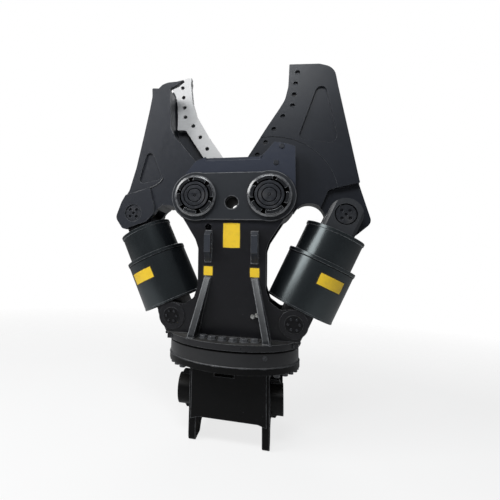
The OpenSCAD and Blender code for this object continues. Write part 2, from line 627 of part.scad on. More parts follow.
// Sizes of the pins
collar_r = 72;
collar_t = 6;
pin_proud = 2;
main_pin_half = doubler_out + collar_t + nut_t + pin_proud;
groove_w = 3;
groove_deep = 2;
nipple_hole_r = 5;
nipple_hole_deep = 10;
nipple_r = 4;
nipple_tip_r = 3;
nut_chamfer = 4;
nut_slot_deep = 11;
nut_slot_w = 10;
nut_slot_up = 3;
washer_inset = 3;
pin_screw_r = 4.5;
pin_screw_h = 4;
module ring_groove(r) difference() {
  cylinder(r = r, h = groove_deep + over);
  translate([0, 0, -over]) cylinder(r = r - groove_w, h = groove_deep + 3 * over);
}
module main_pin() rotate([90, 0, 0]) difference() {
  translate([0, 0, -main_pin_half]) cylinder(r = main_pin_r, h = 2 * main_pin_half);
  for (s = [0, 1]) mirror([0, 0, s]) translate([0, 0, main_pin_half - groove_deep]) {
    ring_groove(main_pin_r * 0.82);
    ring_groove(main_pin_r * 0.53);
    translate([0, 0, groove_deep - nipple_hole_deep])
      cylinder(r = nipple_hole_r, h = nipple_hole_deep + over);
  }
}
module main_pins() color("#4a4c50") at_slew() for (side = [-1, 1]) at_pivot(side) main_pin();
module lock_nut() rotate([90, 0, 0]) difference() {
  union() {
    translate([0, 0, doubler_out]) cylinder(r = collar_r, h = collar_t);
    translate([0, 0, doubler_out + collar_t]) cylinder(r = nut_d / 2, h = nut_t - nut_chamfer);
    translate([0, 0, doubler_out + collar_t + nut_t - nut_chamfer])
      cylinder(r1 = nut_d / 2, r2 = nut_d / 2 - nut_chamfer, h = nut_chamfer);
  }
  translate([0, 0, doubler_out - over]) cylinder(r = main_pin_r, h = collar_t + nut_t + 2 * over);
  for (a = [15:60:315]) rotate([0, 0, a])
    translate([nut_d / 2 - nut_slot_deep, -nut_slot_w / 2, doubler_out + collar_t + nut_slot_up])
    cube([nut_slot_deep + over, nut_slot_w, nut_t]);
}
module lock_nuts() color("#3a3b3d") at_slew() for (a = [0, 180]) rotate([0, 0, a]) both()
  translate([pivot_x, 0, pivot_z]) lock_nut();
module pin_grease_nipples() color("#b9bbbe") at_slew() for (a = [0, 180]) rotate([0, 0, a]) both()
  translate([pivot_x, 0, pivot_z]) rotate([90, 0, 0]) {
    translate([0, 0, main_pin_half - nipple_hole_deep]) cylinder(r = nipple_r, h = nipple_hole_deep - over);
    translate([0, 0, main_pin_half - over]) cylinder(r = nipple_tip_r, h = nipple_tip_r);
  }
module thrust_washers() color("#8d7442") at_slew() for (side = [-1, 1], turn = [0, 180])
  rotate([0, 0, turn]) at_pivot(side) difference() {
    ycyl(hub_r - washer_inset, -frame_in, washer_t - face_gap - frame_in);
    ycyl(main_pin_r + run_gap, -frame_in - over, frame_in + over);
  }
module guide_pads() color("#8d7442") at_slew() {
  translate([guide_pad_at[0], 0, guide_pad_at[1]])
    ycyl(guide_pad_r, -frame_in, -right_face + recess_deep - face_gap);
  translate([-guide_pad_at[0], 0, guide_pad_at[1]]) ycyl(guide_pad_r, jaw_half + face_gap, frame_in);
}
module guide_screws() color("#5e6063") at_slew() for (a = [0, 180]) rotate([0, 0, a])
  rotate([90, 0, 0]) guide_places() {
    translate([0, 0, frame_in]) cylinder(r = guide_screw_r, h = plate_t);
    translate([0, 0, frame_out]) cylinder(r = guide_screw_r + guide_head_over, h = guide_head_h);
  }
lower_pin_half = frame_out + boss_ring_t + pin_proud;
module lower_pins() color("#4a4c50") at_slew() for (side = [-1, 1]) at_lower(side)
  ycyl(lower_pin_r, -lower_pin_half, lower_pin_half);
module lower_pin_screws() color("#b9bbbe") at_slew() for (side = [-1, 1], s = [0, 1]) at_lower(side)
  mirror([0, s, 0]) rotate([90, 0, 0]) for (a = [0:60:300]) rotate([0, 0, a])
    translate([lower_pin_r * 0.62, 0, lower_pin_half])
    cylinder(r = pin_screw_r, h = pin_screw_h, $fn = 6);
rotor_wall = 13;
rotor_h = 56;
rotor_foot = 26;
rotor_foot_t = 8;
rotor_port_r = 10;
rotor_port_out = 9;
module swivel_rotor() color("#5e6063") at_slew() difference() {
  union() {
    translate([0, 0, flange_top]) cylinder(r = swivel_r + rotor_foot, h = rotor_foot_t);
    translate([0, 0, flange_top]) cylinder(r = swivel_r + rotor_wall, h = rotor_h + rotor_wall);
    for (a = [20, 160, 200, 340]) rotate([0, 0, a]) translate([0, 0, flange_top + rotor_h / 2])
      xcyl(rotor_port_r, swivel_r, swivel_r + rotor_wall + rotor_port_out);
  }
  translate([0, 0, flange_top - over]) cylinder(r = swivel_r + run_gap, h = rotor_h + over);
}

// The left jaw: a forked jaw with a core between two cheek plates
module jaw_solid(shares, arch) difference() {
  union() {
    circle(r = hub_r, $fn = 96);
    polygon(rounded(scaled(shares, jaw_reach)));
  }
  translate([arch[0], arch[1]] * jaw_reach) circle(r = arch[2] * jaw_reach);
  head_room();
}
// Room for the top of the rod guard as it turns under the lever
module head_room() for (i = [-1:4]) translate([lever_x, -lever_drop])
  rotate(-cyl_tilt - i * head_turn / 4) translate([-cap_r - head_gap, -cap_drop + head_gap - cap_r])
  square([2 * (cap_r + head_gap), cap_r]);
module jaw_bore() circle(r = main_pin_r + run_gap + bush_wall);
module upper_bore() translate([lever_x, -lever_drop]) circle(r = upper_pin_r);
module jaw_left_front_plate() color("#2f3032") at_slew() at_pivot(-1) difference() {
  union() {
    slab(-jaw_half, -core_half) jaw_solid(left_front_shares, left_arch_share);
    slab(-jaw_half - patch_t, -jaw_half) intersection() {
      jaw_solid(left_front_shares, left_arch_share);
      polygon(rounded(scaled(cheek_patch_shares, jaw_reach)));
    }
  }
  slab(-jaw_half - patch_t - over, -core_half + over) {
    jaw_bore();
    upper_bore();
  }
  slab(-jaw_half - over, -jaw_half + pocket_deep)
    polygon(rounded(scaled(left_pocket_shares, jaw_reach)));
}
module jaw_left_core() color("#2b2c2e") at_slew() at_pivot(-1) difference() {
  slab(-core_half, core_half) intersection() {
    jaw_solid(left_front_shares, left_arch_share);
    translate([-jaw_reach, -jaw_reach]) square([2 * jaw_reach, (1 + left_core_top_share) * jaw_reach]);
  }
  slab(-core_half - over, core_half + over) {
    jaw_bore();
    polygon(rounded(scaled(lever_cut_shares, lever_x)));
  }
}
module left_screw_places() for (p = left_screw_shares) translate([p[0], 0, p[1]] * jaw_reach) children();
module jaw_left_rear_plate() color("#2f3032") at_slew() at_pivot(-1) difference() {
  union() {
    slab(core_half, jaw_half) jaw_solid(left_rear_shares, left_arch_share);
    slab(jaw_half, jaw_half + patch_t) intersection() {
      jaw_solid(left_rear_shares, left_arch_share);
      polygon(rounded(scaled(cheek_patch_shares, jaw_reach)));
    }
  }
  slab(core_half - over, jaw_half + patch_t + over) {
    jaw_bore();
    upper_bore();
  }
  slab(jaw_half - pocket_deep, jaw_half + over)
    polygon(rounded(scaled(left_pocket_shares, jaw_reach)));
  left_screw_places() {
    ycyl(blade_screw_r, core_half - over, jaw_half + over);
    ycyl(blade_screw_r * nut_r_share + nut_room, jaw_half - blade_screw_r * nut_h_share, jaw_half + over);
  }
}
module jaw_left_blade() color("#c4c6c8") at_slew() at_pivot(-1) difference() {
  slab(shear_y, core_half) polygon(rounded(scaled(left_blade_shares, jaw_reach)));
  left_screw_places() ycyl(blade_screw_r, shear_y - over, core_half + over);
}
module jaw_left_blade_screws() color("#3a3b3d") at_slew() at_pivot(-1) left_screw_places() {
  ycyl(blade_screw_r, shear_y + blade_screw_sink, jaw_half - blade_screw_r * nut_h_share);
  translate([0, jaw_half, 0]) rotate([90, 0, 0])
    cylinder(r = blade_screw_r * nut_r_share, h = blade_screw_r * nut_h_share, $fn = 6);
}
module jaw_bush() difference() {
  ycyl(main_pin_r + run_gap + bush_wall, -jaw_half, jaw_half);
  ycyl(main_pin_r + run_gap, -jaw_half - over, jaw_half + over);
}
module jaw_left_bush() color("#8d7442") at_slew() at_pivot(-1) jaw_bush();
pin_recess = 4;
pin_hole_r = 5;
pin_hole_deep = 7;
module upper_pin(half) difference() {
  ycyl(upper_pin_r, -half + pin_recess, half - pin_recess);
  for (s = [0, 1], a = [45:90:315]) mirror([0, s, 0]) rotate([0, a, 0])
    translate([upper_pin_r * 0.56, 0, 0]) ycyl(pin_hole_r, -half - over, -half + pin_recess + pin_hole_deep);
  for (s = [0, 1]) mirror([0, s, 0]) ycyl(pin_hole_r * 0.9, -half - over, -half + pin_recess + pin_hole_deep);
}
module upper_pin_left() color("#4a4c50") at_slew() at_pivot(-1) at_upper()
  upper_pin(jaw_half + patch_t);

// The right jaw: one thick plate that shears between the left jaw's cheeks
module right_outline() jaw_solid(right_shares, right_arch_share);
module right_screw_places() for (p = right_screw_shares) translate([p[0], 0, p[1]] * jaw_reach)
  children();
module jaw_right_plate() color("#2f3032") at_slew() at_pivot(1) difference() {
  union() {
    slab(-right_face, right_blade_front) difference() {
      right_outline();
      polygon(rounded(scaled(lever_cut_shares, lever_x)));
    }
    slab(-lever_t / 2, lever_t / 2) intersection() {
      right_outline();
      polygon(scaled(lever_zone_shares, lever_x));
    }
    slab(right_blade_front - over, right_blade_front + spine_t) intersection() {
      right_outline();
      polygon(rounded(scaled(right_spine_shares, jaw_reach)));
    }
    ycyl(hub_r, -jaw_half, jaw_half);
  }
  slab(-jaw_half - over, jaw_half + over) {
    jaw_bore();
    upper_bore();
  }
  difference() {
    ycyl(recess_share * jaw_reach, -right_face - over, -right_face + recess_deep);
    ycyl(hub_r, -jaw_half - over, jaw_half + over);
  }
  slab(-right_face - over, -right_face + pocket_deep)
    polygon(rounded(scaled(right_pocket_shares, jaw_reach)));
  right_screw_places() {
    ycyl(blade_screw_r, -right_face - over, right_blade_front + over);
    ycyl(blade_screw_r + screw_sink_over, -right_face - over, -right_face + blade_screw_sink);
  }
}
module jaw_right_blade() color("#b4b6b8") at_slew() at_pivot(1) difference() {
  slab(right_blade_front, right_blade_front + right_blade_t)
    polygon(rounded(scaled(right_blade_shares, jaw_reach)));
  right_screw_places() ycyl(blade_screw_r, right_blade_front - over,
    right_blade_front + right_blade_t + over);
}
module jaw_right_blade_screws() color("#3a3b3d") at_slew() at_pivot(1) right_screw_places()
  ycyl(blade_screw_r, -right_face + blade_screw_sink, right_blade_front + right_blade_t - screw_short);
module jaw_right_bush() color("#8d7442") at_slew() at_pivot(1) jaw_bush();

// Sizes of the rod ends
eye_r = 48;
eye_gap = 1;
head_r = 66;
head_t = 20;
tine_side = 50;
tine_half = 66;
tine_round_r = 77;
module upper_pin_right() color("#4a4c50") at_slew() at_pivot(1) at_upper() upper_pin(tine_half);

// One hydraulic cylinder, along its own axis from the lower pin
barrel_floor = 20;
barrel_low = guard_start + barrel_floor;
barrel_top = 240;
gland_t = 35;
gland_over = 2;
gland_in = 14;
port_r = 11;
port_bore_r = 5;
port_up = 14;
port_down = 22;
port_root = 4;
port_out = 12;
rod_low = 87.2;
piston_h = 34;
eye_half = frame_in - eye_gap;
lower_eye_r = 44;
head_top = cyl_len - cap_drop;
guard_floor = 8;
cap_len = head_top - guard_start - guard_floor - cap_gap;
module barrel(side) at_slew() on_cylinder(side) difference() {
  union() {
    intersection() {
      hull_eye(lower_eye_r, guard_start);
      ycyl(2 * barrel_d, -eye_half, eye_half);
    }
    translate([0, 0, guard_start]) cylinder(r = barrel_d / 2, h = barrel_top - guard_start);
    for (z = [barrel_low + port_up, barrel_top - port_down]) translate([0, 0, z])
      xcyl(port_r, barrel_d / 2 - port_root, barrel_d / 2 + port_out);
  }
  translate([0, 0, barrel_low]) cylinder(r = bore_d / 2, h = barrel_top);
  ycyl(lower_pin_r + run_gap, -frame_in, frame_in);
  translate([0, 0, barrel_low + port_up])
    xcyl(port_bore_r, bore_d / 2 - over, barrel_d / 2 + port_out + over);
}
// An eye about the pin with straight flanks up to a height
module hull_eye(r, height) slab(-frame_in, frame_in) {
  circle(r = r);
  translate([-r, 0]) square([2 * r, height]);
}
module gland(side) at_slew() on_cylinder(side) difference() {
  union() {
    translate([0, 0, barrel_top]) cylinder(r = barrel_d / 2 + gland_over, h = gland_t);
    translate([0, 0, barrel_top - gland_in]) cylinder(r = bore_d / 2, h = gland_in);
  }
  translate([0, 0, barrel_top - gland_in - over])
    cylinder(r = rod_d / 2 + run_gap, h = gland_t + gland_in + 2 * over);
}
rim_h = 11;
skirt_h = 10.5;
skirt_wall = 4;
rim_t = 1.5;
rim_chamfer = 2;
cap_chamfer = 3;
cap_roof = 11;
module barrel_guard(side) at_slew() on_cylinder(side) difference() {
  union() {
    translate([0, 0, guard_start - skirt_h])
      cylinder(r = guard_r, h = guard_len - rim_h + skirt_h, $fn = 96);
    translate([0, 0, guard_start + guard_len - rim_h])
      cylinder(r = guard_r + rim_t, h = rim_h - rim_chamfer, $fn = 96);
    translate([0, 0, guard_start + guard_len - rim_chamfer])
      cylinder(r1 = guard_r + rim_t, r2 = guard_r + rim_t - rim_chamfer, h = rim_chamfer, $fn = 96);
  }
  translate([0, 0, guard_start + guard_floor]) cylinder(r = guard_r - guard_wall, h = guard_len, $fn = 96);
  translate([0, 0, guard_start - over]) cylinder(r = barrel_d / 2, h = guard_len);
  translate([0, 0, guard_start - skirt_h - over])
    cylinder(r = guard_r - skirt_wall, h = skirt_h + over, $fn = 96);
}
module rod(side) at_slew() on_cylinder(side) {
  translate([0, 0, rod_low]) cylinder(r = bore_d / 2 - run_gap, h = piston_h);
  translate([0, 0, rod_low]) cylinder(r = rod_d / 2, h = head_top - head_t - rod_low);
}
module rod_guard(side) at_slew() on_cylinder(side) difference() {
  top = head_top;
  union() {
    translate([0, 0, top - cap_len]) cylinder(r = cap_r - rim_t, h = cap_len - rim_h, $fn = 96);
    translate([0, 0, top - rim_h]) cylinder(r = cap_r, h = rim_h - cap_chamfer, $fn = 96);
    translate([0, 0, top - cap_chamfer])
      cylinder(r1 = cap_r, r2 = cap_r - cap_chamfer, h = cap_chamfer, $fn = 96);
  }
  translate([0, 0, top - cap_len - over])
    cylinder(r = cap_r - guard_wall, h = cap_len - cap_roof + over, $fn = 96);
  translate([0, 0, top - cap_len]) cylinder(r = head_r, h = cap_len + over);
}
module rod_bore(half) translate([0, 0, cyl_len]) ycyl(upper_pin_r + rod_eye_gap, -half - over, half + over);
module rod_end_left() color("#34363a") at_slew() on_cylinder(-1) difference() {
  union() {
    translate([0, 0, head_top - head_t]) cylinder(r = head_r, h = head_t);
    slab(-core_half + eye_gap, core_half - eye_gap) {
      translate([0, cyl_len]) circle(r = eye_r);
      translate([-eye_r, head_top]) square([2 * eye_r, cap_drop]);
    }
  }
  rod_bore(core_half);
}
module rod_end_right() color("#34363a") at_slew() on_cylinder(1) difference() {
  union() {
    translate([0, 0, head_top - head_t]) cylinder(r = head_r, h = head_t);
    intersection() {
      slab(-tine_half, tine_half) {
        translate([0, cyl_len]) circle(r = tine_side);
        translate([-tine_side, head_top]) square([2 * tine_side, cap_drop]);
      }
      translate([0, 0, head_top]) cylinder(r = tine_round_r, h = cyl_len);
    }
  }
  rod_bore(tine_half);
  translate([0, -lever_t / 2 - eye_gap, head_top])
    translate([-cap_r, 0, 0]) cube([2 * cap_r, lever_t + 2 * eye_gap, cap_drop + cap_r]);
}
module barrel_left() color("#303133") barrel(-1);
module barrel_right() color("#303133") barrel(1);
module gland_left() color("#3a3b3d") gland(-1);
module gland_right() color("#3a3b3d") gland(1);
module barrel_guard_left() color("#2b2c2e") barrel_guard(-1);
module barrel_guard_right() color("#2b2c2e") barrel_guard(1);
module rod_left() color("#d4d6d8") rod(-1);
module rod_right() color("#d4d6d8") rod(1);
module rod_guard_left() color("#2b2c2e") rod_guard(-1);
module rod_guard_right() color("#2b2c2e") rod_guard(1);

bracket_base_plate();
bracket_ear_left();
bracket_ear_right();
bracket_front_plate();
bracket_rear_plate();
pin_bosses();
pin_bushes();
slew_outer_ring();
slew_balls();
base_ring_bolts();
swing_motor();
swivel_body();
slew_pinion();
slew_inner_ring();
slew_flange();
flange_bolts();
housing_front_plate();
housing_rear_plate();
front_doubler();
rear_doubler();
housing_side_plates();
housing_cross_web();
centre_spacer_tube();
gusset_ribs();
lifting_lugs();
main_pins();
lock_nuts();
pin_grease_nipples();
thrust_washers();
guide_pads();
guide_screws();
lower_pins();
lower_pin_screws();
swivel_rotor();
jaw_left_front_plate();
jaw_left_core();
jaw_left_rear_plate();
jaw_left_blade();
jaw_left_blade_screws();
jaw_left_bush();
upper_pin_left();
jaw_right_plate();
jaw_right_blade();
jaw_right_blade_screws();
jaw_right_bush();
upper_pin_right();
barrel_left();
gland_left();
barrel_guard_left();
rod_left();
rod_end_left();
rod_guard_left();
barrel_right();
gland_right();
barrel_guard_right();
rod_right();
rod_end_right();
rod_guard_right();
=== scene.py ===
import json
import math
import bmesh
import bpy
from mathutils import Matrix, Vector


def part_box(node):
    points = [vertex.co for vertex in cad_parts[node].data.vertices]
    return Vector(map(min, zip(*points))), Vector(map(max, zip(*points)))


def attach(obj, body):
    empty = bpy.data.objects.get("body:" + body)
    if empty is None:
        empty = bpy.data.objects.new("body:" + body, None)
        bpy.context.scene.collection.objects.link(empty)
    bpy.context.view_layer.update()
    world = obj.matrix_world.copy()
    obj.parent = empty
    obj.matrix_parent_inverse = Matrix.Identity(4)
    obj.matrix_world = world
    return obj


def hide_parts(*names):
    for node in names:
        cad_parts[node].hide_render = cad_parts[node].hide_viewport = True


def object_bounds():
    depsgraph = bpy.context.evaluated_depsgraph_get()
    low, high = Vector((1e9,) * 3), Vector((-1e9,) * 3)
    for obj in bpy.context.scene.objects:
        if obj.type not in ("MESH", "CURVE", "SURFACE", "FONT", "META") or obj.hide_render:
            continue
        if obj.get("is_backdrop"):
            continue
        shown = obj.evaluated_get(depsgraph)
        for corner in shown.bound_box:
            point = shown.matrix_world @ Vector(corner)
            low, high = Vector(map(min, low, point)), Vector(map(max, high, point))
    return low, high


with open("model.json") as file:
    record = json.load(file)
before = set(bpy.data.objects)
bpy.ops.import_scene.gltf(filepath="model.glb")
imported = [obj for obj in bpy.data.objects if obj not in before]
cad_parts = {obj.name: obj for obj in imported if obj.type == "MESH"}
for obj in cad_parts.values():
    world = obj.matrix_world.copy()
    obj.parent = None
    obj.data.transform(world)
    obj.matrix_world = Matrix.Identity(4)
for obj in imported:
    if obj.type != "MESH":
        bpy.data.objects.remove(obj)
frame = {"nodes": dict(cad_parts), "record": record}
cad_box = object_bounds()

scene = bpy.context.scene
scene.view_settings.view_transform = "Standard"
nodes = frame["nodes"]
body_of = {n: b for b, members in frame["record"]["behaviour"]["bodies"].items() for n in members}


def new_material(name):
    material = bpy.data.materials.new(name)
    material.use_nodes = True
    tree = material.node_tree
    tree.nodes.clear()
    out = tree.nodes.new("ShaderNodeOutputMaterial")
    return material, tree, out


def node(tree, kind, inputs=None, **settings):
    made = tree.nodes.new(kind)
    for key, value in settings.items():
        setattr(made, key, value)
    for key, value in (inputs or {}).items():
        if isinstance(value, bpy.types.NodeSocket):
            tree.links.new(value, made.inputs[key])
        else:
            made.inputs[key].default_value = value
    return made


def direct_ray(tree, path):
    """One for a ray that comes from the camera, also through a clear face."""
    return node(tree, "ShaderNodeMath", {0: path.outputs["Is Camera Ray"],
                                         1: path.outputs["Is Transmission Ray"]}, operation="MAXIMUM")


def mesh_of(bm, name, *finish):
    """The mesh of a bmesh, which is freed, with its material."""
    mesh = bpy.data.meshes.new(name)
    bm.to_mesh(mesh)
    bm.free()
    for material in finish:
        mesh.materials.append(material)
    return mesh


def placed(name, data):
    """A new object in the scene."""
    made = bpy.data.objects.new(name, data)
    scene.collection.objects.link(made)
    return made


floor_r = 7.0
floor_at = (0, 0.06, cad_box[0][2])
fade_from, fade_to = 1.2, 3.4
floor_glow = 0.78
material, tree, out = new_material("pale_floor")
place = node(tree, "ShaderNodeTexCoord")
reach = node(tree, "ShaderNodeVectorMath", {0: place.outputs["Object"]}, operation="LENGTH")
fade = node(tree, "ShaderNodeMapRange", {"Value": reach.outputs["Value"], "From Min": fade_from,
                                         "From Max": fade_to})
grain = node(tree, "ShaderNodeTexNoise", {"Vector": place.outputs["Object"], "Scale": 3.0})
tint = node(tree, "ShaderNodeMixRGB", {"Fac": grain.outputs["Fac"], "Color1": (0.86, 0.86, 0.865, 1),
                                       "Color2": (0.9, 0.9, 0.9, 1)})
matte = node(tree, "ShaderNodeBsdfDiffuse", {"Color": tint.outputs[0]})
glow = node(tree, "ShaderNodeEmission", {"Color": (1, 1, 1, 1), "Strength": 1.0})
direct = direct_ray(tree, node(tree, "ShaderNodeLightPath"))
seen = node(tree, "ShaderNodeMath", {0: direct.outputs[0], 1: floor_glow}, operation="MULTIPLY")
lit = node(tree, "ShaderNodeMixShader", {0: seen.outputs[0], 1: matte.outputs[0], 2: glow.outputs[0]})
clear = node(tree, "ShaderNodeBsdfTransparent")
faded = node(tree, "ShaderNodeMixShader", {0: fade.outputs[0], 1: lit.outputs[0], 2: clear.outputs[0]})
tree.links.new(faded.outputs[0], out.inputs[0])
bm = bmesh.new()
bmesh.ops.create_circle(bm, cap_ends=True, segments=96, radius=floor_r)
bmesh.ops.translate(bm, verts=bm.verts, vec=floor_at)
floor = placed("studio_floor", mesh_of(bm, "studio_floor", material))
floor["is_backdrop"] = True

room_level = 0.09
room_mirror = 0.08
world = bpy.data.worlds.new("white_room")
world.use_nodes = True
scene.world = world
tree = world.node_tree
tree.nodes.clear()
out = tree.nodes.new("ShaderNodeOutputWorld")
path = node(tree, "ShaderNodeLightPath")
direct = direct_ray(tree, path)
mirrored = node(tree, "ShaderNodeMath", {0: path.outputs["Is Glossy Ray"], 1: room_mirror},
                operation="MULTIPLY")
shown = node(tree, "ShaderNodeMath", {0: direct.outputs[0], 1: mirrored.outputs[0]}, operation="MAXIMUM")
room_light = node(tree, "ShaderNodeBackground", {"Color": (0.93, 0.96, 1.0, 1), "Strength": room_level})
room_seen = node(tree, "ShaderNodeBackground", {"Color": (1, 1, 1, 1), "Strength": 1.0})
both_rooms = node(tree, "ShaderNodeMixShader", {0: shown.outputs[0], 1: room_light.outputs[0],
                                                2: room_seen.outputs[0]})
tree.links.new(both_rooms.outputs[0], out.inputs[0])


def soft_lamp(name, place, target, size, power, colour):
    lamp = bpy.data.lights.new(name, "AREA")
    lamp.shape = "RECTANGLE"
    lamp.size, lamp.size_y = size
    lamp.energy = power
    lamp.color = colour
    holder = placed(name, lamp)
    holder.location = place
    holder.rotation_euler = (Vector(target) - Vector(place)).to_track_quat("-Z", "Y").to_euler()


soft_lamp("key_lamp", (-1.65, -1.38, 1.85), (0, 0, 0.5), (1.3, 1.3), 41, (1.0, 0.995, 0.99))
soft_lamp("front_lamp", (0.0, -1.55, 2.1), (0, 0, 0.4), (0.8, 0.7), 25, (0.95, 0.98, 1.0))
soft_lamp("back_lamp", (-0.5, 2.6, 2.1), (0, 0, 0.5), (1.4, 1.4), 24, (1.0, 1.0, 1.0))

eye = Vector((0.1452, -1.3490, 0.3961))
yaw, pitch, roll = 0.284, 0.140, 0.038
photo_size = 500
focal_share = 407.5 / photo_size
axis_x_share = 160.8 / photo_size
axis_y_share = 203.9 / photo_size
right = Vector((math.cos(yaw), math.sin(yaw), 0))
ahead = Vector((-math.sin(yaw) * math.cos(pitch), math.cos(yaw) * math.cos(pitch), math.sin(pitch)))
above = right.cross(ahead)
cam_x = right * math.cos(roll) + above * math.sin(roll)
cam_y = above * math.cos(roll) - right * math.sin(roll)
cam = bpy.data.cameras.new("photo_camera")
cam.sensor_width = 36
cam.lens = focal_share * cam.sensor_width
cam.shift_x = 0.5 - axis_x_share
cam.shift_y = axis_y_share - 0.5
cam.clip_start = 0.01
camera = placed("photo_camera", cam)
camera.matrix_world = Matrix.Translation(eye) @ Matrix((cam_x, cam_y, -ahead)).transposed().to_4x4()
scene.camera = camera

# Carrier head: two flame-cut ears with a front and a rear plate between them, pin bosses with webs,
# all welded under the round base plate and sprayed with black enamel; bronze bushes line the bores.
enamel_edge = 0.002
merge_within = 2e-6
flat_within = math.radians(0.4)
broken_over = math.radians(32)
sharp_over = math.radians(50)
# grey for rubbed edges, which also serves as painted highlight on them
edge_wear_highlight_grey = (0.17, 0.175, 0.185, 1)
dust_brown = (0.13, 0.125, 0.115, 1)
scratch_grey = (0.09, 0.092, 0.1, 1)


def enamel(name, colour, gloss=0.32, edge_wear_and_highlight=0.5, dust=0.5, shine=0.4, painted_top_light=None, tint=(1, 1, 1), peeled=1.0):
    """Sprayed black paint: cloudy tone, orange peel, dust on ledges, edges partly rubbed and partly painted
    with highlights, and fine scratches.
    The painted top light is the two heights between which the coat turns paler and bluer, standing in for
    light from above, and that colour."""
    material, tree, out = new_material(name)
    place = node(tree, "ShaderNodeTexCoord")
    where = place.outputs["Object"]
    cloud = node(tree, "ShaderNodeTexNoise", {"Vector": where, "Scale": 7.0, "Detail": 5.0, "Roughness": 0.6})
    speck = node(tree, "ShaderNodeTexNoise", {"Vector": where, "Scale": 90.0, "Detail": 4.0,
                                              "Roughness": 0.65})
    peel = node(tree, "ShaderNodeTexNoise", {"Vector": where, "Scale": 420.0, "Detail": 2.0})
    low = [c * 0.72 for c in colour] + [1]
    high = [c * 1.3 for c in colour] + [1]
    tone = node(tree, "ShaderNodeMixRGB", {"Fac": cloud.outputs["Fac"], "Color1": low, "Color2": high})
    if painted_top_light:
        # painted top light: further up, the coat is painted bluer and paler, standing in for the light
        # falling from above
        split = node(tree, "ShaderNodeSeparateXYZ", {0: where})
        climb = node(tree, "ShaderNodeMapRange", {"Value": split.outputs["Z"], "From Min": painted_top_light[0],
                                                  "From Max": painted_top_light[1]})
        tone = node(tree, "ShaderNodeMixRGB", {"Fac": climb.outputs[0], "Color1": tone.outputs[0],
                                               "Color2": (*painted_top_light[2], 1)})
    # edges partly rubbed and partly painted with highlights: the broken edges of each piece carry a mark that
    # turns them grey
    edge = node(tree, "ShaderNodeAttribute", attribute_name="rub_and_highlight")
    patch = node(tree, "ShaderNodeMapRange", {"Value": speck.outputs["Fac"], "From Min": 0.36,
                                              "From Max": 0.54, "To Min": 0.25})
    rubbed_and_lit = node(tree, "ShaderNodeMath", {0: edge.outputs["Fac"], 1: patch.outputs[0]}, operation="MULTIPLY")
    rub_and_highlight = node(tree, "ShaderNodeMath", {0: rubbed_and_lit.outputs[0], 1: edge_wear_and_highlight}, operation="MULTIPLY", use_clamp=True)
    shown = node(tree, "ShaderNodeMixRGB", {"Fac": rub_and_highlight.outputs[0], "Color1": tone.outputs[0],
                                            "Color2": edge_wear_highlight_grey})
    # dust that settles on faces turned up
    facing = node(tree, "ShaderNodeSeparateXYZ", {0: place.outputs["Normal"]})
    ledge = node(tree, "ShaderNodeMapRange", {"Value": facing.outputs["Z"], "From Min": 0.35,
                                              "From Max": 1.0})
    film = node(tree, "ShaderNodeMapRange", {"Value": cloud.outputs["Fac"], "From Min": 0.35,
                                             "From Max": 0.75, "To Min": 0.15, "To Max": 0.6})
    settle = node(tree, "ShaderNodeMath", {0: ledge.outputs[0], 1: film.outputs[0]}, operation="MULTIPLY")
    powder = node(tree, "ShaderNodeMath", {0: settle.outputs[0], 1: dust}, operation="MULTIPLY")
    dusty = node(tree, "ShaderNodeMixRGB", {"Fac": powder.outputs[0], "Color1": shown.outputs[0],
                                            "Color2": dust_brown})
    # hairline scratches from handling
    long_way = node(tree, "ShaderNodeMapping", {"Vector": where, "Rotation": (0.5, 0.9, 0.3),
                                                "Scale": (260.0, 9.0, 260.0)})
    hair = node(tree, "ShaderNodeTexNoise", {"Vector": long_way.outputs[0], "Scale": 1.0, "Detail": 1.0})
    scratch = node(tree, "ShaderNodeMapRange", {"Value": hair.outputs["Fac"], "From Min": 0.74,
                                                "From Max": 0.8, "To Max": 0.35})
    final = node(tree, "ShaderNodeMixRGB", {"Fac": scratch.outputs[0], "Color1": dusty.outputs[0],
                                            "Color2": scratch_grey})
    rough = node(tree, "ShaderNodeMapRange", {"Value": speck.outputs["Fac"], "From Min": 0.3, "From Max": 0.7,
                                              "To Min": gloss - 0.03 * peeled,
                                              "To Max": gloss + 0.05 * peeled})
    dull = node(tree, "ShaderNodeMath", {0: powder.outputs[0], 1: rough.outputs[0]}, operation="ADD")
    bump = node(tree, "ShaderNodeBump", {"Height": peel.outputs["Fac"], "Strength": 0.06 * peeled,
                                         "Distance": 0.0005})
    wave = node(tree, "ShaderNodeBump", {"Height": cloud.outputs["Fac"], "Strength": 0.05, "Distance": 0.004,
                                         "Normal": bump.outputs[0]})
    bsdf = node(tree, "ShaderNodeBsdfPrincipled", {"Base Color": final.outputs[0],
                                                   "Roughness": dull.outputs[0], "Normal": wave.outputs[0]})
    bsdf.inputs["Specular IOR Level"].default_value = shine
    bsdf.inputs["Specular Tint"].default_value = (*tint, 1)
    tree.links.new(bsdf.outputs[0], out.inputs[0])
    return material


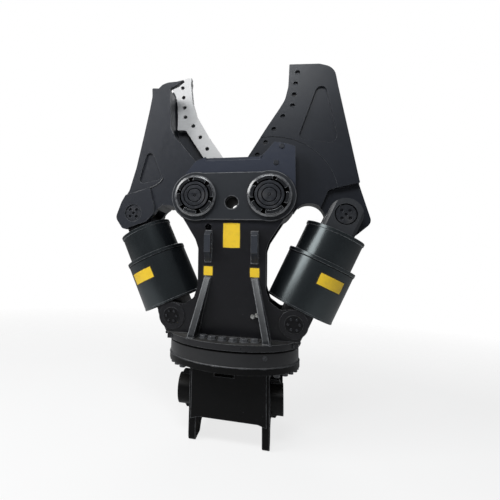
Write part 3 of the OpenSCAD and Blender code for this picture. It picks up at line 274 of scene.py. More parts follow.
def metal(name, colour, rough, grain=(1, 1, 1), stain=0.4, metallic=1.0, patina=(0.10, 0.09, 0.08)):
    """Bare or blackened steel: machining lines, stains and small dents."""
    material, tree, out = new_material(name)
    place = node(tree, "ShaderNodeTexCoord")
    where = place.outputs["Object"]
    lines_at = node(tree, "ShaderNodeMapping", {"Vector": where, "Scale": grain})
    lines = node(tree, "ShaderNodeTexNoise", {"Vector": lines_at.outputs[0], "Scale": 30.0, "Detail": 6.0,
                                              "Roughness": 0.7})
    cloud = node(tree, "ShaderNodeTexNoise", {"Vector": where, "Scale": 16.0, "Detail": 6.0,
                                              "Roughness": 0.65})
    low = [c * 0.78 for c in colour] + [1]
    high = [min(1, c * 1.15) for c in colour] + [1]
    tone = node(tree, "ShaderNodeMixRGB", {"Fac": lines.outputs["Fac"], "Color1": low, "Color2": high})
    spot = node(tree, "ShaderNodeMapRange", {"Value": cloud.outputs["Fac"], "From Min": 0.5, "From Max": 0.78,
                                             "To Max": stain})
    shown = node(tree, "ShaderNodeMixRGB", {"Fac": spot.outputs[0], "Color1": tone.outputs[0],
                                            "Color2": [*patina, 1]})
    dull = node(tree, "ShaderNodeMapRange", {"Value": lines.outputs["Fac"], "From Min": 0.3, "From Max": 0.7,
                                             "To Min": rough - 0.08, "To Max": rough + 0.1})
    more = node(tree, "ShaderNodeMath", {0: dull.outputs[0], 1: spot.outputs[0]}, operation="ADD",
                use_clamp=True)
    bump = node(tree, "ShaderNodeBump", {"Height": lines.outputs["Fac"], "Strength": 0.16,
                                         "Distance": 0.0004})
    bsdf = node(tree, "ShaderNodeBsdfPrincipled", {"Base Color": shown.outputs[0],
                                                   "Roughness": more.outputs[0], "Normal": bump.outputs[0]})
    bsdf.inputs["Metallic"].default_value = metallic
    tree.links.new(bsdf.outputs[0], out.inputs[0])
    return material


def slot_name(node_name):
    return next(s["material_slot"] for s in frame["record"]["subparts"] if s["node"] == node_name)


def set_ride(piece, body, slot, *replaced):
    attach(piece, body)
    if replaced:
        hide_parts(*replaced)


def joined(mesh):
    """A bmesh of a mesh whose faces share their corners."""
    bm = bmesh.new()
    bm.from_mesh(mesh)
    bmesh.ops.remove_doubles(bm, verts=bm.verts, dist=merge_within)
    return bm


def loose_groups(bm):
    """The separate solids of a mesh, each as a set of its corners."""
    left = set(bm.verts)
    while left:
        stack = [left.pop()]
        group = set(stack)
        while stack:
            for e in stack.pop().link_edges:
                for v in e.verts:
                    if v in left:
                        left.remove(v)
                        group.add(v)
                        stack.append(v)
        yield group


def weighted(mesh, name):
    """Flat faces shade flat and broken edges roll over: normals weighed by the area of their faces."""
    holder = placed(name, mesh)
    modifier = holder.modifiers.new("normals", "WEIGHTED_NORMAL")
    modifier.weight = 100
    modifier.keep_sharp = True
    graph = bpy.context.evaluated_depsgraph_get()
    made = bpy.data.meshes.new_from_object(holder.evaluated_get(graph), preserve_all_data_layers=True,
                                           depsgraph=graph)
    bpy.data.objects.remove(holder)
    return made


def finished(node_name, material, edge=enamel_edge, source=None):
    """A CAD node's own form with its flat faces joined, its edges broken and its round faces smooth."""
    bm = joined(source or nodes[node_name].data)
    bmesh.ops.dissolve_limit(bm, angle_limit=flat_within, verts=bm.verts, edges=bm.edges,
                             use_dissolve_boundaries=False)
    rub_and_highlight = bm.loops.layers.float.new("rub_and_highlight")
    broken = set()
    for group in list(loose_groups(bm)):
        picked = {e for v in group for e in v.link_edges
                  if len(e.link_faces) == 2 and e.calc_face_angle(0) > broken_over}
        made = bmesh.ops.bevel(bm, geom=list(picked), offset=edge, offset_type="OFFSET", segments=2,
                               profile=0.5, affect="EDGES", clamp_overlap=True, loop_slide=True)
        broken.update(made["faces"])
    for f in bm.faces:
        f.smooth = True
        for loop in f.loops:
            loop[rub_and_highlight] = float(f in broken)
    for e in bm.edges:
        e.smooth = len(e.link_faces) != 2 or e.calc_face_angle(0) < sharp_over
    raw = node_name + "_raw"
    piece = placed(node_name + "_made", weighted(mesh_of(bm, raw, material), raw))
    set_ride(piece, body_of[node_name], slot_name(node_name), node_name)


def dress(node_name, material):
    """A CAD node that keeps its own mesh gets a made finish."""
    held = nodes[node_name]
    held.data.materials.clear()
    held.data.materials.append(material)


# the carrier's coat is painted much darker than the housing's: painted shade under the housing
carrier_shaded_enamel = enamel("carrier_shaded_enamel", (0.0032, 0.0032, 0.0034), gloss=0.38, dust=0.6, shine=0.12)
for name in ("bracket_base_plate", "bracket_ear_left", "bracket_ear_right", "bracket_front_plate",
             "bracket_rear_plate", "pin_bosses"):
    finished(name, carrier_shaded_enamel)
bronze = metal("turned_bronze", (0.46, 0.30, 0.13), rough=0.32, grain=(40, 3, 3), stain=0.5,
               patina=(0.06, 0.05, 0.04))
for name in ("pin_bushes", "thrust_washers", "guide_pads", "jaw_left_bush", "jaw_right_bush"):
    dress(name, bronze)

# Slew ring: a forged outer ring bolted up through the base plate from below, and the toothed inner ring
# on a row of balls, which carries the housing's flange with bolts from above.
ring_enamel = enamel("ring_enamel", (0.014, 0.0145, 0.016), gloss=0.34, edge_wear_and_highlight=0.9, dust=0.5)
finished("slew_outer_ring", ring_enamel, edge=0.0026)
gear_steel = metal("greased_gear_steel", (0.20, 0.20, 0.205), rough=0.3, grain=(6, 6, 40), stain=0.7,
                   patina=(0.035, 0.03, 0.025))
for name in ("slew_inner_ring", "slew_pinion"):
    dress(name, gear_steel)
dress("slew_balls", metal("ball_steel", (0.62, 0.62, 0.64), rough=0.16, stain=0.15))
joint_steel = metal("rotary_joint_steel", (0.22, 0.22, 0.23), rough=0.34, grain=(3, 3, 30), stain=0.6)
for name in ("swivel_body", "swivel_rotor"):
    finished(name, joint_steel, edge=0.001)
motor_enamel = enamel("motor_enamel", (0.026, 0.026, 0.028), gloss=0.45, edge_wear_and_highlight=0.8, dust=0.9)
finished("swing_motor", motor_enamel, edge=0.0012)

blackened = metal("blackened_steel", (0.022, 0.023, 0.026), rough=0.34, grain=(30, 30, 3), stain=0.5,
                  metallic=0.85)
zinc = metal("zinc_plate", (0.62, 0.62, 0.60), rough=0.3, grain=(20, 20, 20), stain=0.45,
             patina=(0.22, 0.2, 0.15))
enamelled_bolt = enamel("bolt_enamel", (0.045, 0.047, 0.052), gloss=0.3, edge_wear_and_highlight=1.0, dust=0.8)
free_turn = 3.1


def hex_head(name, radius, height, washer_r, washer_t, socket=0.0):
    """A bolt head on its washer, up from z = 0: chamfered corners, and a domed top or a socket."""
    bm = bmesh.new()
    rings = []
    sides = 24

    def ring(r, z, six=0.0):
        made = []
        for i in range(sides):
            a = 2 * math.pi * i / sides
            fold = (a + math.pi / 6) % (math.pi / 3) - math.pi / 6
            flat = math.cos(math.pi / 6) / math.cos(fold)
            k = r * (1 - six + six * flat)
            made.append(bm.verts.new((k * math.cos(a), k * math.sin(a), z)))
        rings.append(made)

    ring(washer_r, 0)
    ring(washer_r, washer_t * 0.75)
    ring(washer_r - washer_t * 0.25, washer_t)
    ring(radius, washer_t, 1)
    ring(radius, washer_t + height * 0.86, 1)
    ring(radius * 0.84, washer_t + height)
    if socket:
        ring(socket, washer_t + height, 1)
        ring(socket * 0.97, washer_t + height * 0.45, 1)
    else:
        ring(radius * 0.5, washer_t + height * 1.02)
    for low, top in zip(rings, rings[1:]):
        for i in range(sides):
            j = (i + 1) % sides
            bm.faces.new((low[i], low[j], top[j], top[i]))
    bm.faces.new(rings[-1])
    bm.faces.new(list(reversed(rings[0])))
    return bpy.data.objects.new(name, mesh_of(bm, name))


def make_tree(name, sockets):
    """An empty Geometry Nodes tree with the given inputs of (label, kind, first value)."""
    group = bpy.data.node_groups.new(name, "GeometryNodeTree")
    group.interface.new_socket("Geometry", in_out="INPUT", socket_type="NodeSocketGeometry")
    for label, kind, value in sockets:
        made = group.interface.new_socket(label, in_out="INPUT", socket_type=kind)
        if value is not None:
            made.default_value = value
    group.interface.new_socket("Geometry", in_out="OUTPUT", socket_type="NodeSocketGeometry")
    return group, group.nodes.new("NodeGroupInput"), group.nodes.new("NodeGroupOutput")


# one tree sets a fastener on every point and turns each by a seeded amount about its own axis
fastener_tree, tree_in, tree_out = make_tree("fasteners_on_points", [
    ("Fastener", "NodeSocketObject", None), ("Tilt", "NodeSocketRotation", None),
    ("Most Turn", "NodeSocketFloat", free_turn), ("Seed", "NodeSocketInt", 1),
    ("Finish", "NodeSocketMaterial", None)])
shape = node(fastener_tree, "GeometryNodeObjectInfo", {"Object": tree_in.outputs["Fastener"]})
chance = node(fastener_tree, "FunctionNodeRandomValue", {2: 0.0, 3: tree_in.outputs["Most Turn"],
                                                         "Seed": tree_in.outputs["Seed"]}, data_type="FLOAT")
turn = node(fastener_tree, "FunctionNodeAxisAngleToRotation", {"Axis": (0, 0, 1), "Angle": chance.outputs[1]})
whole = node(fastener_tree, "FunctionNodeRotateRotation",
             {"Rotation": tree_in.outputs["Tilt"], "Rotate By": turn.outputs[0]}, rotation_space="LOCAL")
each = node(fastener_tree, "GeometryNodeMeshToPoints", {"Mesh": tree_in.outputs["Geometry"]})
held = node(fastener_tree, "GeometryNodeInstanceOnPoints", {"Points": each.outputs[0],
                                                            "Instance": shape.outputs["Geometry"],
                                                            "Rotation": whole.outputs[0]})
real = node(fastener_tree, "GeometryNodeRealizeInstances", {0: held.outputs[0]})
coat = node(fastener_tree, "GeometryNodeSetMaterial", {"Geometry": real.outputs[0],
                                                       "Material": tree_in.outputs["Finish"]})
fastener_tree.links.new(coat.outputs[0], tree_out.inputs[0])


def run_tree(name, points, lines, group, values, body, slot, *replaced):
    """A plain mesh on one body, made by a Geometry Nodes tree from points or from lines between them."""
    mesh = bpy.data.meshes.new("places")
    mesh.from_pydata(points, lines, [])
    source = placed("places", mesh)
    modifier = source.modifiers.new("build", "NODES")
    modifier.node_group = group
    for item in group.interface.items_tree:
        if item.in_out == "INPUT" and item.name in values:
            modifier[item.identifier] = values[item.name]
    source.update_tag()
    bpy.context.view_layer.update()
    graph = bpy.context.evaluated_depsgraph_get()
    made = bpy.data.meshes.new_from_object(source.evaluated_get(graph), depsgraph=graph)
    made.name = name
    bpy.data.objects.remove(source)
    set_ride(placed(name, made), body, slot, *replaced)


def solid_places(node_name, z):
    """A place at the height z for each loose solid of a node, over its middle."""
    bm = joined(nodes[node_name].data)
    found = []
    for group in loose_groups(bm):
        reach = [(min(v.co[i] for v in group), max(v.co[i] for v in group)) for i in range(2)]
        found.append((*((low + high) / 2 for low, high in reach), z))
    bm.free()
    return sorted(found)


def bolted(name, node_name, head, z, tilt, finish, seed):
    """A made head at the height z on each bolt of a CAD node, in place of that node."""
    values = {"Fastener": head, "Tilt": tilt, "Most Turn": free_turn, "Seed": seed, "Finish": finish}
    run_tree(name, solid_places(node_name, z), [], fastener_tree, values, body_of[node_name],
             slot_name(node_name), node_name)


under_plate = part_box("bracket_base_plate")[0][2]
on_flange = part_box("slew_flange")[1][2]
base_head = hex_head("base_bolt_head", radius=0.010, height=0.008, washer_r=0.0115, washer_t=0.0018)
bolted("base_ring_bolt_heads", "base_ring_bolts", base_head, under_plate, (math.pi, 0, 0), enamelled_bolt,
       seed=3)
flange_head = hex_head("flange_bolt_head", radius=0.0125, height=0.0085, washer_r=0.0145, washer_t=0.002,
                       socket=0.006)
flange_bolt_enamel = enamel("flange_bolt_enamel", (0.09, 0.093, 0.10), gloss=0.24, edge_wear_and_highlight=1.0, dust=0.5)
bolted("flange_bolt_heads", "flange_bolts", flange_head, on_flange, (0, 0, 0), flange_bolt_enamel, seed=8)

# Housing: two thick frame plates with dog-bone doublers, side plates and a cross web, welded on the
# round flange; ribs and lifting lugs stand on both faces. Sprayed black after welding.
# the housing's coat is painted paler and bluer towards its top: painted light from above
housing_enamel = enamel("housing_enamel", (0.0085, 0.0085, 0.0105), edge_wear_and_highlight=0.9, shine=0.35,
                        painted_top_light=(0.50, 0.64, (0.026, 0.031, 0.047)))
flange_enamel = enamel("flange_enamel", (0.010, 0.0102, 0.012), gloss=0.3, edge_wear_and_highlight=1.0, dust=0.9, shine=0.4)
finished("slew_flange", flange_enamel, edge=0.003)
for name in ("housing_front_plate", "housing_rear_plate", "housing_side_plates", "housing_cross_web"):
    finished(name, housing_enamel, edge=0.0028)
finished("centre_spacer_tube", enamel("tube_enamel", (0.002, 0.002, 0.0022), gloss=0.5, edge_wear_and_highlight=0.2, shine=0.05))
rib_enamel = enamel("rib_enamel", (0.017, 0.0185, 0.021), gloss=0.3, edge_wear_and_highlight=0.9, dust=0.5, shine=0.45)
# the lugs' coat is painted paler than the housing's: painted highlight where their faces catch the light
lit_lug_enamel = enamel("lit_lug_enamel", (0.032, 0.036, 0.045), gloss=0.3, edge_wear_and_highlight=1.0, dust=0.4, shine=0.45)
finished("gusset_ribs", rib_enamel, edge=0.0026)
finished("lifting_lugs", lit_lug_enamel, edge=0.0024)
doubler_enamel = enamel("doubler_enamel", (0.021, 0.0235, 0.028), gloss=0.32, edge_wear_and_highlight=0.8, dust=0.5)
for name in ("front_doubler", "rear_doubler"):
    finished(name, doubler_enamel, edge=0.0022)

# Main pins with their slotted lock nuts, and the lower and upper cylinder pins: turned, phosphated
# and greased through the nipple in the middle of each face.
pin_steel = metal("phosphated_pin_steel", (0.045, 0.048, 0.056), rough=0.32, grain=(4, 4, 4), stain=0.35,
                  metallic=0.7)
for name in ("main_pins", "upper_pin_left", "upper_pin_right"):
    finished(name, pin_steel, edge=0.0009)
lower_pin_enamel = enamel("lower_pin_enamel", (0.006, 0.006, 0.007), gloss=0.34, edge_wear_and_highlight=0.25, shine=0.2)
finished("lower_pins", lower_pin_enamel, edge=0.0012)
nut_enamel = enamel("lock_nut_enamel", (0.010, 0.011, 0.013), gloss=0.2, edge_wear_and_highlight=0.8, dust=0.2, shine=0.5)
mid_y = 0.065
pivot = Vector((0.118, mid_y, 0.614))
hands = ((-1, "left"), (1, "right"))
nut_in, nut_out, nut_low, nut_high = 0.0482, 0.0608, 0.1122, 0.1252
# the slots of the left and the right nuts, in degrees about the pin, and their floor's radius
slot_angles = {-1: (44, 104, 167, 224, 284, 346), 1: (16, 73, 140, 195, 251, 324)}
slot_half, slot_floor = 6, 0.0495


def skin(bm, loops):
    """Faces between each loop of corners and the next, closed round, with their places in the loop."""
    return [(bm.faces.new((one[k], other[k], other[(k + 1) % len(one)], one[(k + 1) % len(one)])), k)
            for one, other in zip(loops, loops[1:] + loops[:1]) for k in range(len(one))]


bm = bmesh.new()
for side, angles in slot_angles.items():
    centre = Vector((side * pivot.x, pivot.y, pivot.z))
    for way in (-1, 1):
        loops = []
        for degrees in range(0, 360, 2):
            gap = min(abs((degrees - a + 180) % 360 - 180) for a in angles)
            outer_r = slot_floor if gap <= slot_half else nut_out
            a = math.radians(degrees)
            ray = Vector((math.cos(a), 0, math.sin(a)))
            profile = ((nut_in, nut_low), (outer_r, nut_low), (outer_r, nut_high), (nut_in, nut_high))
            loops.append([bm.verts.new(centre + ray * r + Vector((0, way * y, 0))) for r, y in profile])
        skin(bm, loops)
bmesh.ops.recalc_face_normals(bm, faces=bm.faces)
shape = mesh_of(bm, "slotted_nuts")
finished("lock_nuts", nut_enamel, edge=0.0020, source=shape)
finished("guide_screws", pin_steel, edge=0.0008)
dark_screws = metal("dark_cap_screws", (0.05, 0.052, 0.058), rough=0.24, grain=(9, 9, 9), stain=0.3,
                    metallic=0.8)
for name in ("lower_pin_screws", "pin_grease_nipples"):
    finished(name, dark_screws, edge=0.0008)

# Jaws: the left one is a fork of two cheek plates on a core, the right one a single thick plate;
# both are hard steel plate, sprayed black, with bolted shear blades of bare tool steel.
jaw_enamel = enamel("jaw_enamel", (0.0175, 0.020, 0.0265), gloss=0.32, edge_wear_and_highlight=0.7, dust=0.4)
for name in ("jaw_left_front_plate", "jaw_left_core", "jaw_left_rear_plate"):
    finished(name, jaw_enamel, edge=0.002)
# the right jaw gets a darker copy of the jaw paint: painted shade, with the light falling from the left
shaded_jaw_enamel = enamel("shaded_jaw_enamel", (0.0135, 0.0155, 0.021), gloss=0.34, edge_wear_and_highlight=0.8, dust=0.4,
                         shine=0.3)
finished("jaw_right_plate", shaded_jaw_enamel, edge=0.0024)
bare_blade = metal("bare_blade_steel", (0.60, 0.60, 0.60), rough=0.48, grain=(2, 14, 26), stain=0.3,
                   metallic=0.12, patina=(0.35, 0.34, 0.33))
dark_blade = metal("dark_blade_steel", (0.16, 0.165, 0.175), rough=0.36, grain=(2, 14, 26), stain=0.35)
for name, steel in (("jaw_left_blade", bare_blade), ("jaw_right_blade", dark_blade)):
    finished(name, steel, edge=0.0007)
for name in ("jaw_left_blade_screws", "jaw_right_blade_screws"):
    finished(name, blackened, edge=0.0005)

# Cylinders: barrels in the housing's lower lugs, chromed rods, and telescoping round guards of rolled
# plate over both, the wide one on the barrel and the narrow one on the rod end.
guard_enamel = enamel("guard_enamel", (0.007, 0.0085, 0.010), gloss=0.25, edge_wear_and_highlight=0.8, dust=0.35, shine=0.75,
                      tint=(0.85, 0.97, 1.0), peeled=0.2)
for name in ("barrel_guard_left", "barrel_guard_right", "rod_guard_left", "rod_guard_right"):
    finished(name, guard_enamel, edge=0.0012)
barrel_enamel = enamel("barrel_enamel", (0.022, 0.023, 0.025), gloss=0.4, edge_wear_and_highlight=0.6, dust=0.6)
for name in ("barrel_left", "barrel_right"):
    finished(name, barrel_enamel, edge=0.0012)
chrome = metal("hard_chrome", (0.72, 0.73, 0.75), rough=0.14, grain=(2, 2, 2), stain=0.12)
for name in ("rod_left", "rod_right"):
    dress(name, chrome)
forged = enamel("forged_rod_end", (0.028, 0.030, 0.034), gloss=0.38, edge_wear_and_highlight=0.8, dust=0.5)
for name in ("rod_end_left", "rod_end_right", "gland_left", "gland_right"):
    finished(name, forged, edge=0.0012)

lower_pin = Vector((0.188, mid_y, 0.224))
pin_run, pin_rise = 0.157, 0.337
guard_tilt = math.atan2(pin_run, pin_rise)
guard_r = 0.104
rod_guard_r = 0.091
crease_over = math.radians(40)


def cylinder_axes(side):
    """The middle of the lower pin, the way up the cylinder and the way across it."""
    foot = Vector((side * lower_pin.x, lower_pin.y, lower_pin.z))
    up = Vector((side * math.sin(guard_tilt), 0, math.cos(guard_tilt)))
    across = Vector((math.cos(guard_tilt), 0, -side * math.sin(guard_tilt)))
    return foot, up, across


def turned(name, body, slot, axes, outline, finish, rubbed_and_lit=()):
    """A closed ring with the outline of (radius, distance along the axis), turned about the axis."""
    foot, up, across = axes
    third = up.cross(across)
    bm = bmesh.new()
    rub_and_highlight = bm.loops.layers.float.new("rub_and_highlight")
    sides = 96
    turns = []
    for i in range(sides):
        a = 2 * math.pi * i / sides
        out_way = third * math.cos(a) + across * math.sin(a)
        turns.append([bm.verts.new(foot + up * along + out_way * reach) for reach, along in outline])
    for face, k in skin(bm, turns):
        face.smooth = True
        for loop in face.loops:
            loop[rub_and_highlight] = float(k in rubbed_and_lit)
    bmesh.ops.recalc_face_normals(bm, faces=bm.faces)
    for e in bm.edges:
        e.smooth = e.calc_face_angle(0) < crease_over
    raw = name + "_raw"
    set_ride(placed(name, weighted(mesh_of(bm, raw, finish), raw)), body, slot)


def band(name, body, side, r, low, high, proud, finish, rubbed_and_lit):
    """A rolled band round a guard, between two distances from the lower pin along the cylinder."""
    lip = 0.0009
    outline = ((r - proud, low), (r + proud - lip, low), (r + proud, low + lip), (r + proud, high - lip),
               (r + proud - lip, high), (r - proud, high))
    turned(name, body, "guard_paint", cylinder_axes(side), outline, finish, rubbed_and_lit)


# near-black coat for bands of painted shade: in the groove under each guard rim, round each pin nut and in
# the slew ring's gap
painted_shade_black = enamel("painted_shade_black", (0.0015, 0.0015, 0.0015), gloss=0.6, edge_wear_and_highlight=0.0, dust=0.0, shine=0.05)
# guard radius, start and end along the cylinder, height over the guard, finish and the faces rubbed and
# painted with highlights
bands = (("barrel", "rim", guard_r, 0.2045, 0.2152, 0.0020, guard_enamel, (1, 3)),
         # the seam band is a black band of painted shade: the shadow of the groove under the rim
         ("barrel", "seam", guard_r, 0.2015, 0.2043, 0.0009, painted_shade_black, ()),
         ("barrel", "hem", guard_r, 0.0445, 0.0505, 0.0008, guard_enamel, (1, 3)),
         ("rod", "rim", rod_guard_r, 0.3035, 0.3140, 0.0010, guard_enamel, (1, 3)))
for side, word in hands:
    for part, kind, *sizes in bands:
        band(f"{part}_guard_{kind}_{word}", f"{part}_{word}", side, *sizes)

# Trim round the moving parts: a glossy dished collar round each main pin's nut with a black ring of painted
# shade in the groove under it, a black ring of painted shade in the slew ring's gap, and grease nipples on
# the housing's waist and in the ring's side.
collar_enamel = enamel("pin_collar_enamel", (0.009, 0.010, 0.012), gloss=0.2, edge_wear_and_highlight=0.7, dust=0.2, shine=1.0)
# outlines of (radius, distance from the middle plane)
collar_outline = ((0.0611, 0.1110), (0.0611, 0.1213), (0.0621, 0.1212), (0.0681, 0.1185), (0.0690, 0.1175),
                  (0.0690, 0.1110))
# a flat black ring of painted shade: the shadow in the groove round each nut
groove_outline = ((0.0462, 0.1115), (0.0462, 0.1150), (0.0612, 0.1150), (0.0612, 0.1115))
nut_rings = (("collar", collar_outline, collar_enamel, (2, 4)), ("groove", groove_outline, painted_shade_black, ()))
for side, word in hands:
    for way, face in ((-1, "front"), (1, "rear")):
        axes = Vector((side * pivot.x, pivot.y, pivot.z)), Vector((0, way, 0)), Vector((1, 0, 0))
        for kind, *made_of in nut_rings:
            turned(f"pin_{kind}_{face}_{word}", "housing", "nut_steel", axes, *made_of)
# a black ring of painted shade fills the slew ring's gap under the flange
ring_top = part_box("slew_outer_ring")[1][2]
gap_shade_in, gap_shade_out, gap_shade_crest = 0.1990, 0.2056, 0.2060
gap_shade_low, gap_shade_mid, gap_shade_high = ring_top - 0.0035, ring_top - 0.0005, ring_top + 0.0018
gap_shade_outline = ((gap_shade_in, gap_shade_low), (gap_shade_out, gap_shade_low), (gap_shade_crest, gap_shade_mid), (gap_shade_out, gap_shade_high),
                (gap_shade_in, gap_shade_high))
axes = Vector((0, mid_y, 0)), Vector((0, 0, 1)), Vector((1, 0, 0))
turned("slew_lip_seal", "bracket", "ring_paint", axes, gap_shade_outline, painted_shade_black)
nipple = hex_head("grease_nipple", radius=0.0052, height=0.0105, washer_r=0.0068, washer_t=0.0018)
plate_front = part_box("front_doubler")[1][1]
nipple_places = [(0.068, plate_front, 0.238), (0.081, plate_front, 0.243)]
values = {"Fastener": nipple, "Tilt": (math.pi / 2, 0, 0), "Most Turn": 1.0, "Seed": 5, "Finish": zinc}
run_tree("waist_grease_nipples", nipple_places, [], fastener_tree, values, "housing", "plated_steel")
plug = hex_head("ring_plug", radius=0.0050, height=0.0030, washer_r=0.0075, washer_t=0.0012, socket=0.003)
plug_turn, plug_r, plug_z = math.radians(31.5), 0.205, 0.135
plug_place = (plug_r * math.sin(plug_turn), mid_y - plug_r * math.cos(plug_turn), plug_z)
values.update({"Fastener": plug, "Tilt": (math.pi / 2, 0, plug_turn), "Finish": enamelled_bolt})
run_tree("ring_grease_plug", [plug_place], [], fastener_tree, values, "bracket", "ring_paint")

# Welds: a rippled bead of filler metal laid along the seams where the doublers, ribs and lugs meet the frame
# plates, the plates meet the flange, and the ring and ears meet the base; some beads are painted paler as
# painted highlights, those on the doublers near black as painted shadow.
bead_tree, tree_in, tree_out = make_tree("weld_bead", [
    ("Bead Radius", "NodeSocketFloat", 0.003), ("Ripple", "NodeSocketFloat", 0.14),
    ("Finish", "NodeSocketMaterial", None)])
seam = node(bead_tree, "GeometryNodeMeshToCurve", {"Mesh": tree_in.outputs["Geometry"]})
steps = node(bead_tree, "GeometryNodeResampleCurve", {"Curve": seam.outputs[0], "Length": 0.0011},
             mode="LENGTH")
count = node(bead_tree, "GeometryNodeInputIndex")
beat = node(bead_tree, "ShaderNodeMath", {0: count.outputs[0], 1: 1.9}, operation="MULTIPLY")
wave = node(bead_tree, "ShaderNodeMath", {0: beat.outputs[0]}, operation="SINE")
swell = node(bead_tree, "ShaderNodeMath", {0: wave.outputs[0], 1: tree_in.outputs["Ripple"]},
             operation="MULTIPLY")
where = node(bead_tree, "GeometryNodeInputPosition")
drift = node(bead_tree, "ShaderNodeTexNoise", {"Vector": where.outputs[0], "Scale": 60.0, "Detail": 2.0})
wander = node(bead_tree, "ShaderNodeMapRange", {"Value": drift.outputs["Fac"], "From Min": 0.3,
                                                "From Max": 0.7, "To Min": 0.8, "To Max": 1.15})
full = node(bead_tree, "ShaderNodeMath", {0: swell.outputs[0], 1: wander.outputs[0]}, operation="ADD")
thick = node(bead_tree, "ShaderNodeMath", {0: full.outputs[0], 1: tree_in.outputs["Bead Radius"]},
             operation="MULTIPLY")
outline = node(bead_tree, "GeometryNodeCurvePrimitiveCircle", {"Resolution": 9, "Radius": 1.0})
bead = node(bead_tree, "GeometryNodeCurveToMesh",
            {"Curve": steps.outputs[0], "Profile Curve": outline.outputs[0], "Scale": thick.outputs[0],
             "Fill Caps": True})
smooth = node(bead_tree, "GeometryNodeSetShadeSmooth", {"Geometry": bead.outputs[0]})
real = node(bead_tree, "GeometryNodeRealizeInstances", {0: smooth.outputs[0]})
coat = node(bead_tree, "GeometryNodeSetMaterial", {"Geometry": real.outputs[0],
                                                   "Material": tree_in.outputs["Finish"]})
bead_tree.links.new(coat.outputs[0], tree_out.inputs[0])


seam_over = math.radians(35)
near_plane = 0.0002


def welded(node_name, planes, finish, radius, name=None, clear_of=0.0):
    """Beads along a node's sharp edges that lie in any of the planes of (axis, place), and whose
    middle is further from the slew axis than clear_of."""
    bm = joined(nodes[node_name].data)
    bm.verts.index_update()
    points, lines, known = [], [], {}
    for e in bm.edges:
        if len(e.link_faces) != 2 or e.calc_face_angle(0) < seam_over:
            continue
        if not any(all(abs(v.co[axis] - place) < near_plane for v in e.verts) for axis, place in planes):
            continue
        middle = (e.verts[0].co + e.verts[1].co) / 2
        if math.hypot(middle.x, middle.y - mid_y) <= clear_of:
            continue
        ends = []
        for v in e.verts:
            if v.index not in known:
                known[v.index] = len(points)
                points.append(v.co[:])
            ends.append(known[v.index])
        lines.append(ends)
    bm.free()
    values = {"Bead Radius": radius, "Finish": finish}
    run_tree(name or node_name + "_welds", points, lines, bead_tree, values, body_of[node_name],
             slot_name(node_name))


plate_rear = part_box("rear_doubler")[0][1]
plate_faces = [(1, plate_front), (1, plate_rear)]
# the beads on the ribs, lugs, ring and jaw cheek are painted paler: painted highlights on the welds
weld_highlight_enamel = enamel("weld_highlight_enamel", (0.04, 0.042, 0.047), gloss=0.24, edge_wear_and_highlight=0.0, dust=0.9, shine=0.7)
# the doublers' beads are painted near black: painted shadow along the doublers' edges
doubler_shadow_enamel = enamel("doubler_shadow_enamel", (0.0045, 0.0045, 0.0055), gloss=0.3, edge_wear_and_highlight=0.0, dust=0.7, shine=0.3)
for name in ("front_doubler", "rear_doubler"):
    welded(name, plate_faces, doubler_shadow_enamel, radius=0.0024)
for name in ("gusset_ribs", "lifting_lugs"):
    welded(name, plate_faces + [(2, on_flange)], weld_highlight_enamel, radius=0.0036)
for name in ("housing_front_plate", "housing_rear_plate"):
    welded(name, [(2, on_flange)], housing_enamel, radius=0.004)
base_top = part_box("bracket_base_plate")[1][2]
welded("slew_outer_ring", [(2, base_top)], weld_highlight_enamel, radius=0.0028, name="slew_ring_seam", clear_of=0.2)
for name in ("bracket_ear_left", "bracket_ear_right", "bracket_front_plate"):
    welded(name, [(2, under_plate)], carrier_shaded_enamel, radius=0.004)

# the left jaw's front cheek is welded where it steps back from its lever end
cheek_step = 0.0100
cheek_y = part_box("jaw_left_front_plate")[0][1] + cheek_step
cheek_seam = [(x, cheek_y, z) for x, z in ((-0.3590, 0.6300), (-0.3337, 0.6379), (-0.3004, 0.6454),
                                           (-0.2678, 0.6592), (-0.2520, 0.6710), (-0.2433, 0.6850))]
run_tree("jaw_left_cheek_weld", cheek_seam, [(i, i + 1) for i in range(len(cheek_seam) - 1)], bead_tree,
         {"Bead Radius": 0.0026, "Finish": weld_highlight_enamel}, "jaw_left", "jaw_paint")

# Markers: plain yellow vinyl patches with a thin dark rim, bare of any words or pictures, stuck on
# the housing's waist, above the ribs and on the two barrel guards.
patch_t, patch_gap, corner_trim, border_wide = 0.0005, 0.00002, 0.975, 0.0032
vinyl, tree, out = new_material("yellow_vinyl")
uv = node(tree, "ShaderNodeUVMap", uv_map="patch")
split = node(tree, "ShaderNodeSeparateXYZ", {0: uv.outputs[0]})
inset = node(tree, "ShaderNodeMath", {0: split.outputs["X"], 1: split.outputs["Y"]}, operation="MINIMUM")
border = node(tree, "ShaderNodeMath", {0: inset.outputs[0], 1: border_wide}, operation="LESS_THAN")
place = node(tree, "ShaderNodeTexCoord")
grime = node(tree, "ShaderNodeTexNoise", {"Vector": place.outputs["Object"], "Scale": 55.0, "Detail": 6.0,
                                          "Roughness": 0.7})
soil = node(tree, "ShaderNodeMapRange", {"Value": grime.outputs["Fac"], "From Min": 0.5, "From Max": 0.8,
                                         "To Max": 0.35})
yellow = node(tree, "ShaderNodeMixRGB", {"Fac": soil.outputs[0], "Color1": (0.90, 0.60, 0.03, 1),
                                         "Color2": (0.42, 0.27, 0.05, 1)})
shade = node(tree, "ShaderNodeMixRGB", {"Fac": border.outputs[0], "Color1": yellow.outputs[0],
                                        "Color2": (0.03, 0.022, 0.012, 1)})
bump = node(tree, "ShaderNodeBump", {"Height": grime.outputs["Fac"], "Strength": 0.08, "Distance": 0.0005})
bsdf = node(tree, "ShaderNodeBsdfPrincipled", {"Base Color": shade.outputs[0], "Normal": bump.outputs[0]})
bsdf.inputs["Roughness"].default_value = 0.38
tree.links.new(bsdf.outputs[0], out.inputs[0])


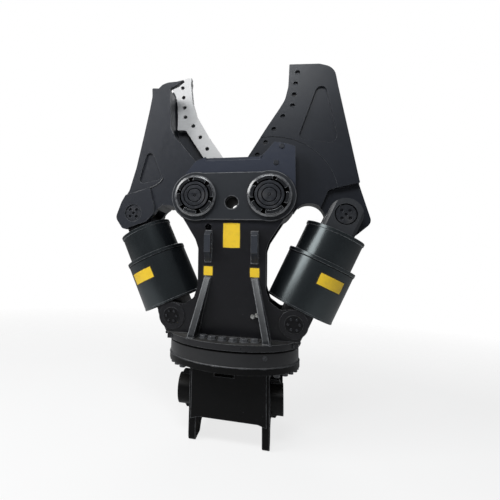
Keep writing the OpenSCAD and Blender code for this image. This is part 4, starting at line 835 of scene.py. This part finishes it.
def patch(name, body, at, wide, tall, cols, rows):
    """A thin sheet over a grid of points that at(u, v) gives as (place, outward normal)."""
    bm = bmesh.new()
    layer = bm.loops.layers.uv.new("patch")
    outer, inner = [], []
    for j in range(rows + 1):
        outer.append([])
        inner.append([])
        for i in range(cols + 1):
            u, v = 2 * i / cols - 1, 2 * j / rows - 1
            trim = corner_trim if abs(u) == abs(v) == 1 else 1.0
            p, n = at(u * wide / 2 * trim, v * tall / 2 * trim)
            from_edge = (wide / 2 * (1 - abs(u)), tall / 2 * (1 - abs(v)))
            outer[-1].append((bm.verts.new(p + n * patch_t), from_edge))
            inner[-1].append((bm.verts.new(p + n * patch_gap), from_edge))
    corners = []
    for grid, flip in ((outer, False), (inner, True)):
        for j in range(rows):
            for i in range(cols):
                corners.append(([grid[j][i], grid[j][i + 1], grid[j + 1][i + 1], grid[j + 1][i]], flip))
    ring = [(0, i) for i in range(cols)] + [(j, cols) for j in range(rows)]
    ring += [(rows, i) for i in range(cols, 0, -1)] + [(j, 0) for j in range(rows, 0, -1)]
    for (a, b), (c, d) in zip(ring, ring[1:] + ring[:1]):
        corners.append(([outer[a][b], inner[a][b], inner[c][d], outer[c][d]], False))
    for quad, flip in corners:
        quad = list(reversed(quad)) if flip else quad
        face = bm.faces.new([q[0] for q in quad])
        for loop, q in zip(face.loops, quad):
            loop[layer].uv = q[1]
    bmesh.ops.recalc_face_normals(bm, faces=bm.faces)
    set_ride(placed(name, mesh_of(bm, name, vinyl)), body, "marker_yellow")


slew_at = Vector((0, mid_y, 0.150))
frame_face = 0.094
# sideways and up from the slew ring's middle, width and height
plate_markers = ((0.0, 0.337, 0.060, 0.086), (-0.073, 0.222, 0.035, 0.035), (0.073, 0.222, 0.035, 0.035))
# degrees round the guard from its front, distance along the cylinder, width and height
guard_markers = ((-29, 0.155, 0.100, 0.043), (26, 0.158, 0.090, 0.042))


def on_plate(side, x, z):
    """Where a patch lies on the housing's front or rear plate."""
    def at(u, v):
        return slew_at + Vector((-side * (x + u), side * frame_face, z + v)), Vector((0, side, 0))
    return at


def on_guard(side, turn, along):
    """Where a patch lies round a barrel guard."""
    foot, up, across = cylinder_axes(side)

    def at(u, v):
        a = turn + u / guard_r
        out_way = Vector((0, -1, 0)) * math.cos(a) + across * math.sin(a)
        return foot + up * (along + v) + out_way * guard_r, out_way
    return at


for side, word in ((-1, "front"), (1, "rear")):
    for count, (x, z, wide, tall) in enumerate(plate_markers):
        patch(f"housing_marker_{word}_{count}", "housing", on_plate(side, x, z), wide, tall, 2, 2)
for (side, word), (degrees, along, wide, tall) in zip(hands, guard_markers):
    for face, lead in (("front", 0.0), ("rear", math.pi)):
        spot = on_guard(side, math.radians(degrees) + lead, along)
        patch(f"guard_marker_{word}_{face}", f"barrel_{word}", spot, wide, tall, 16, 2)

[[list(corner) for corner in box] for box in (cad_box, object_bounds())]
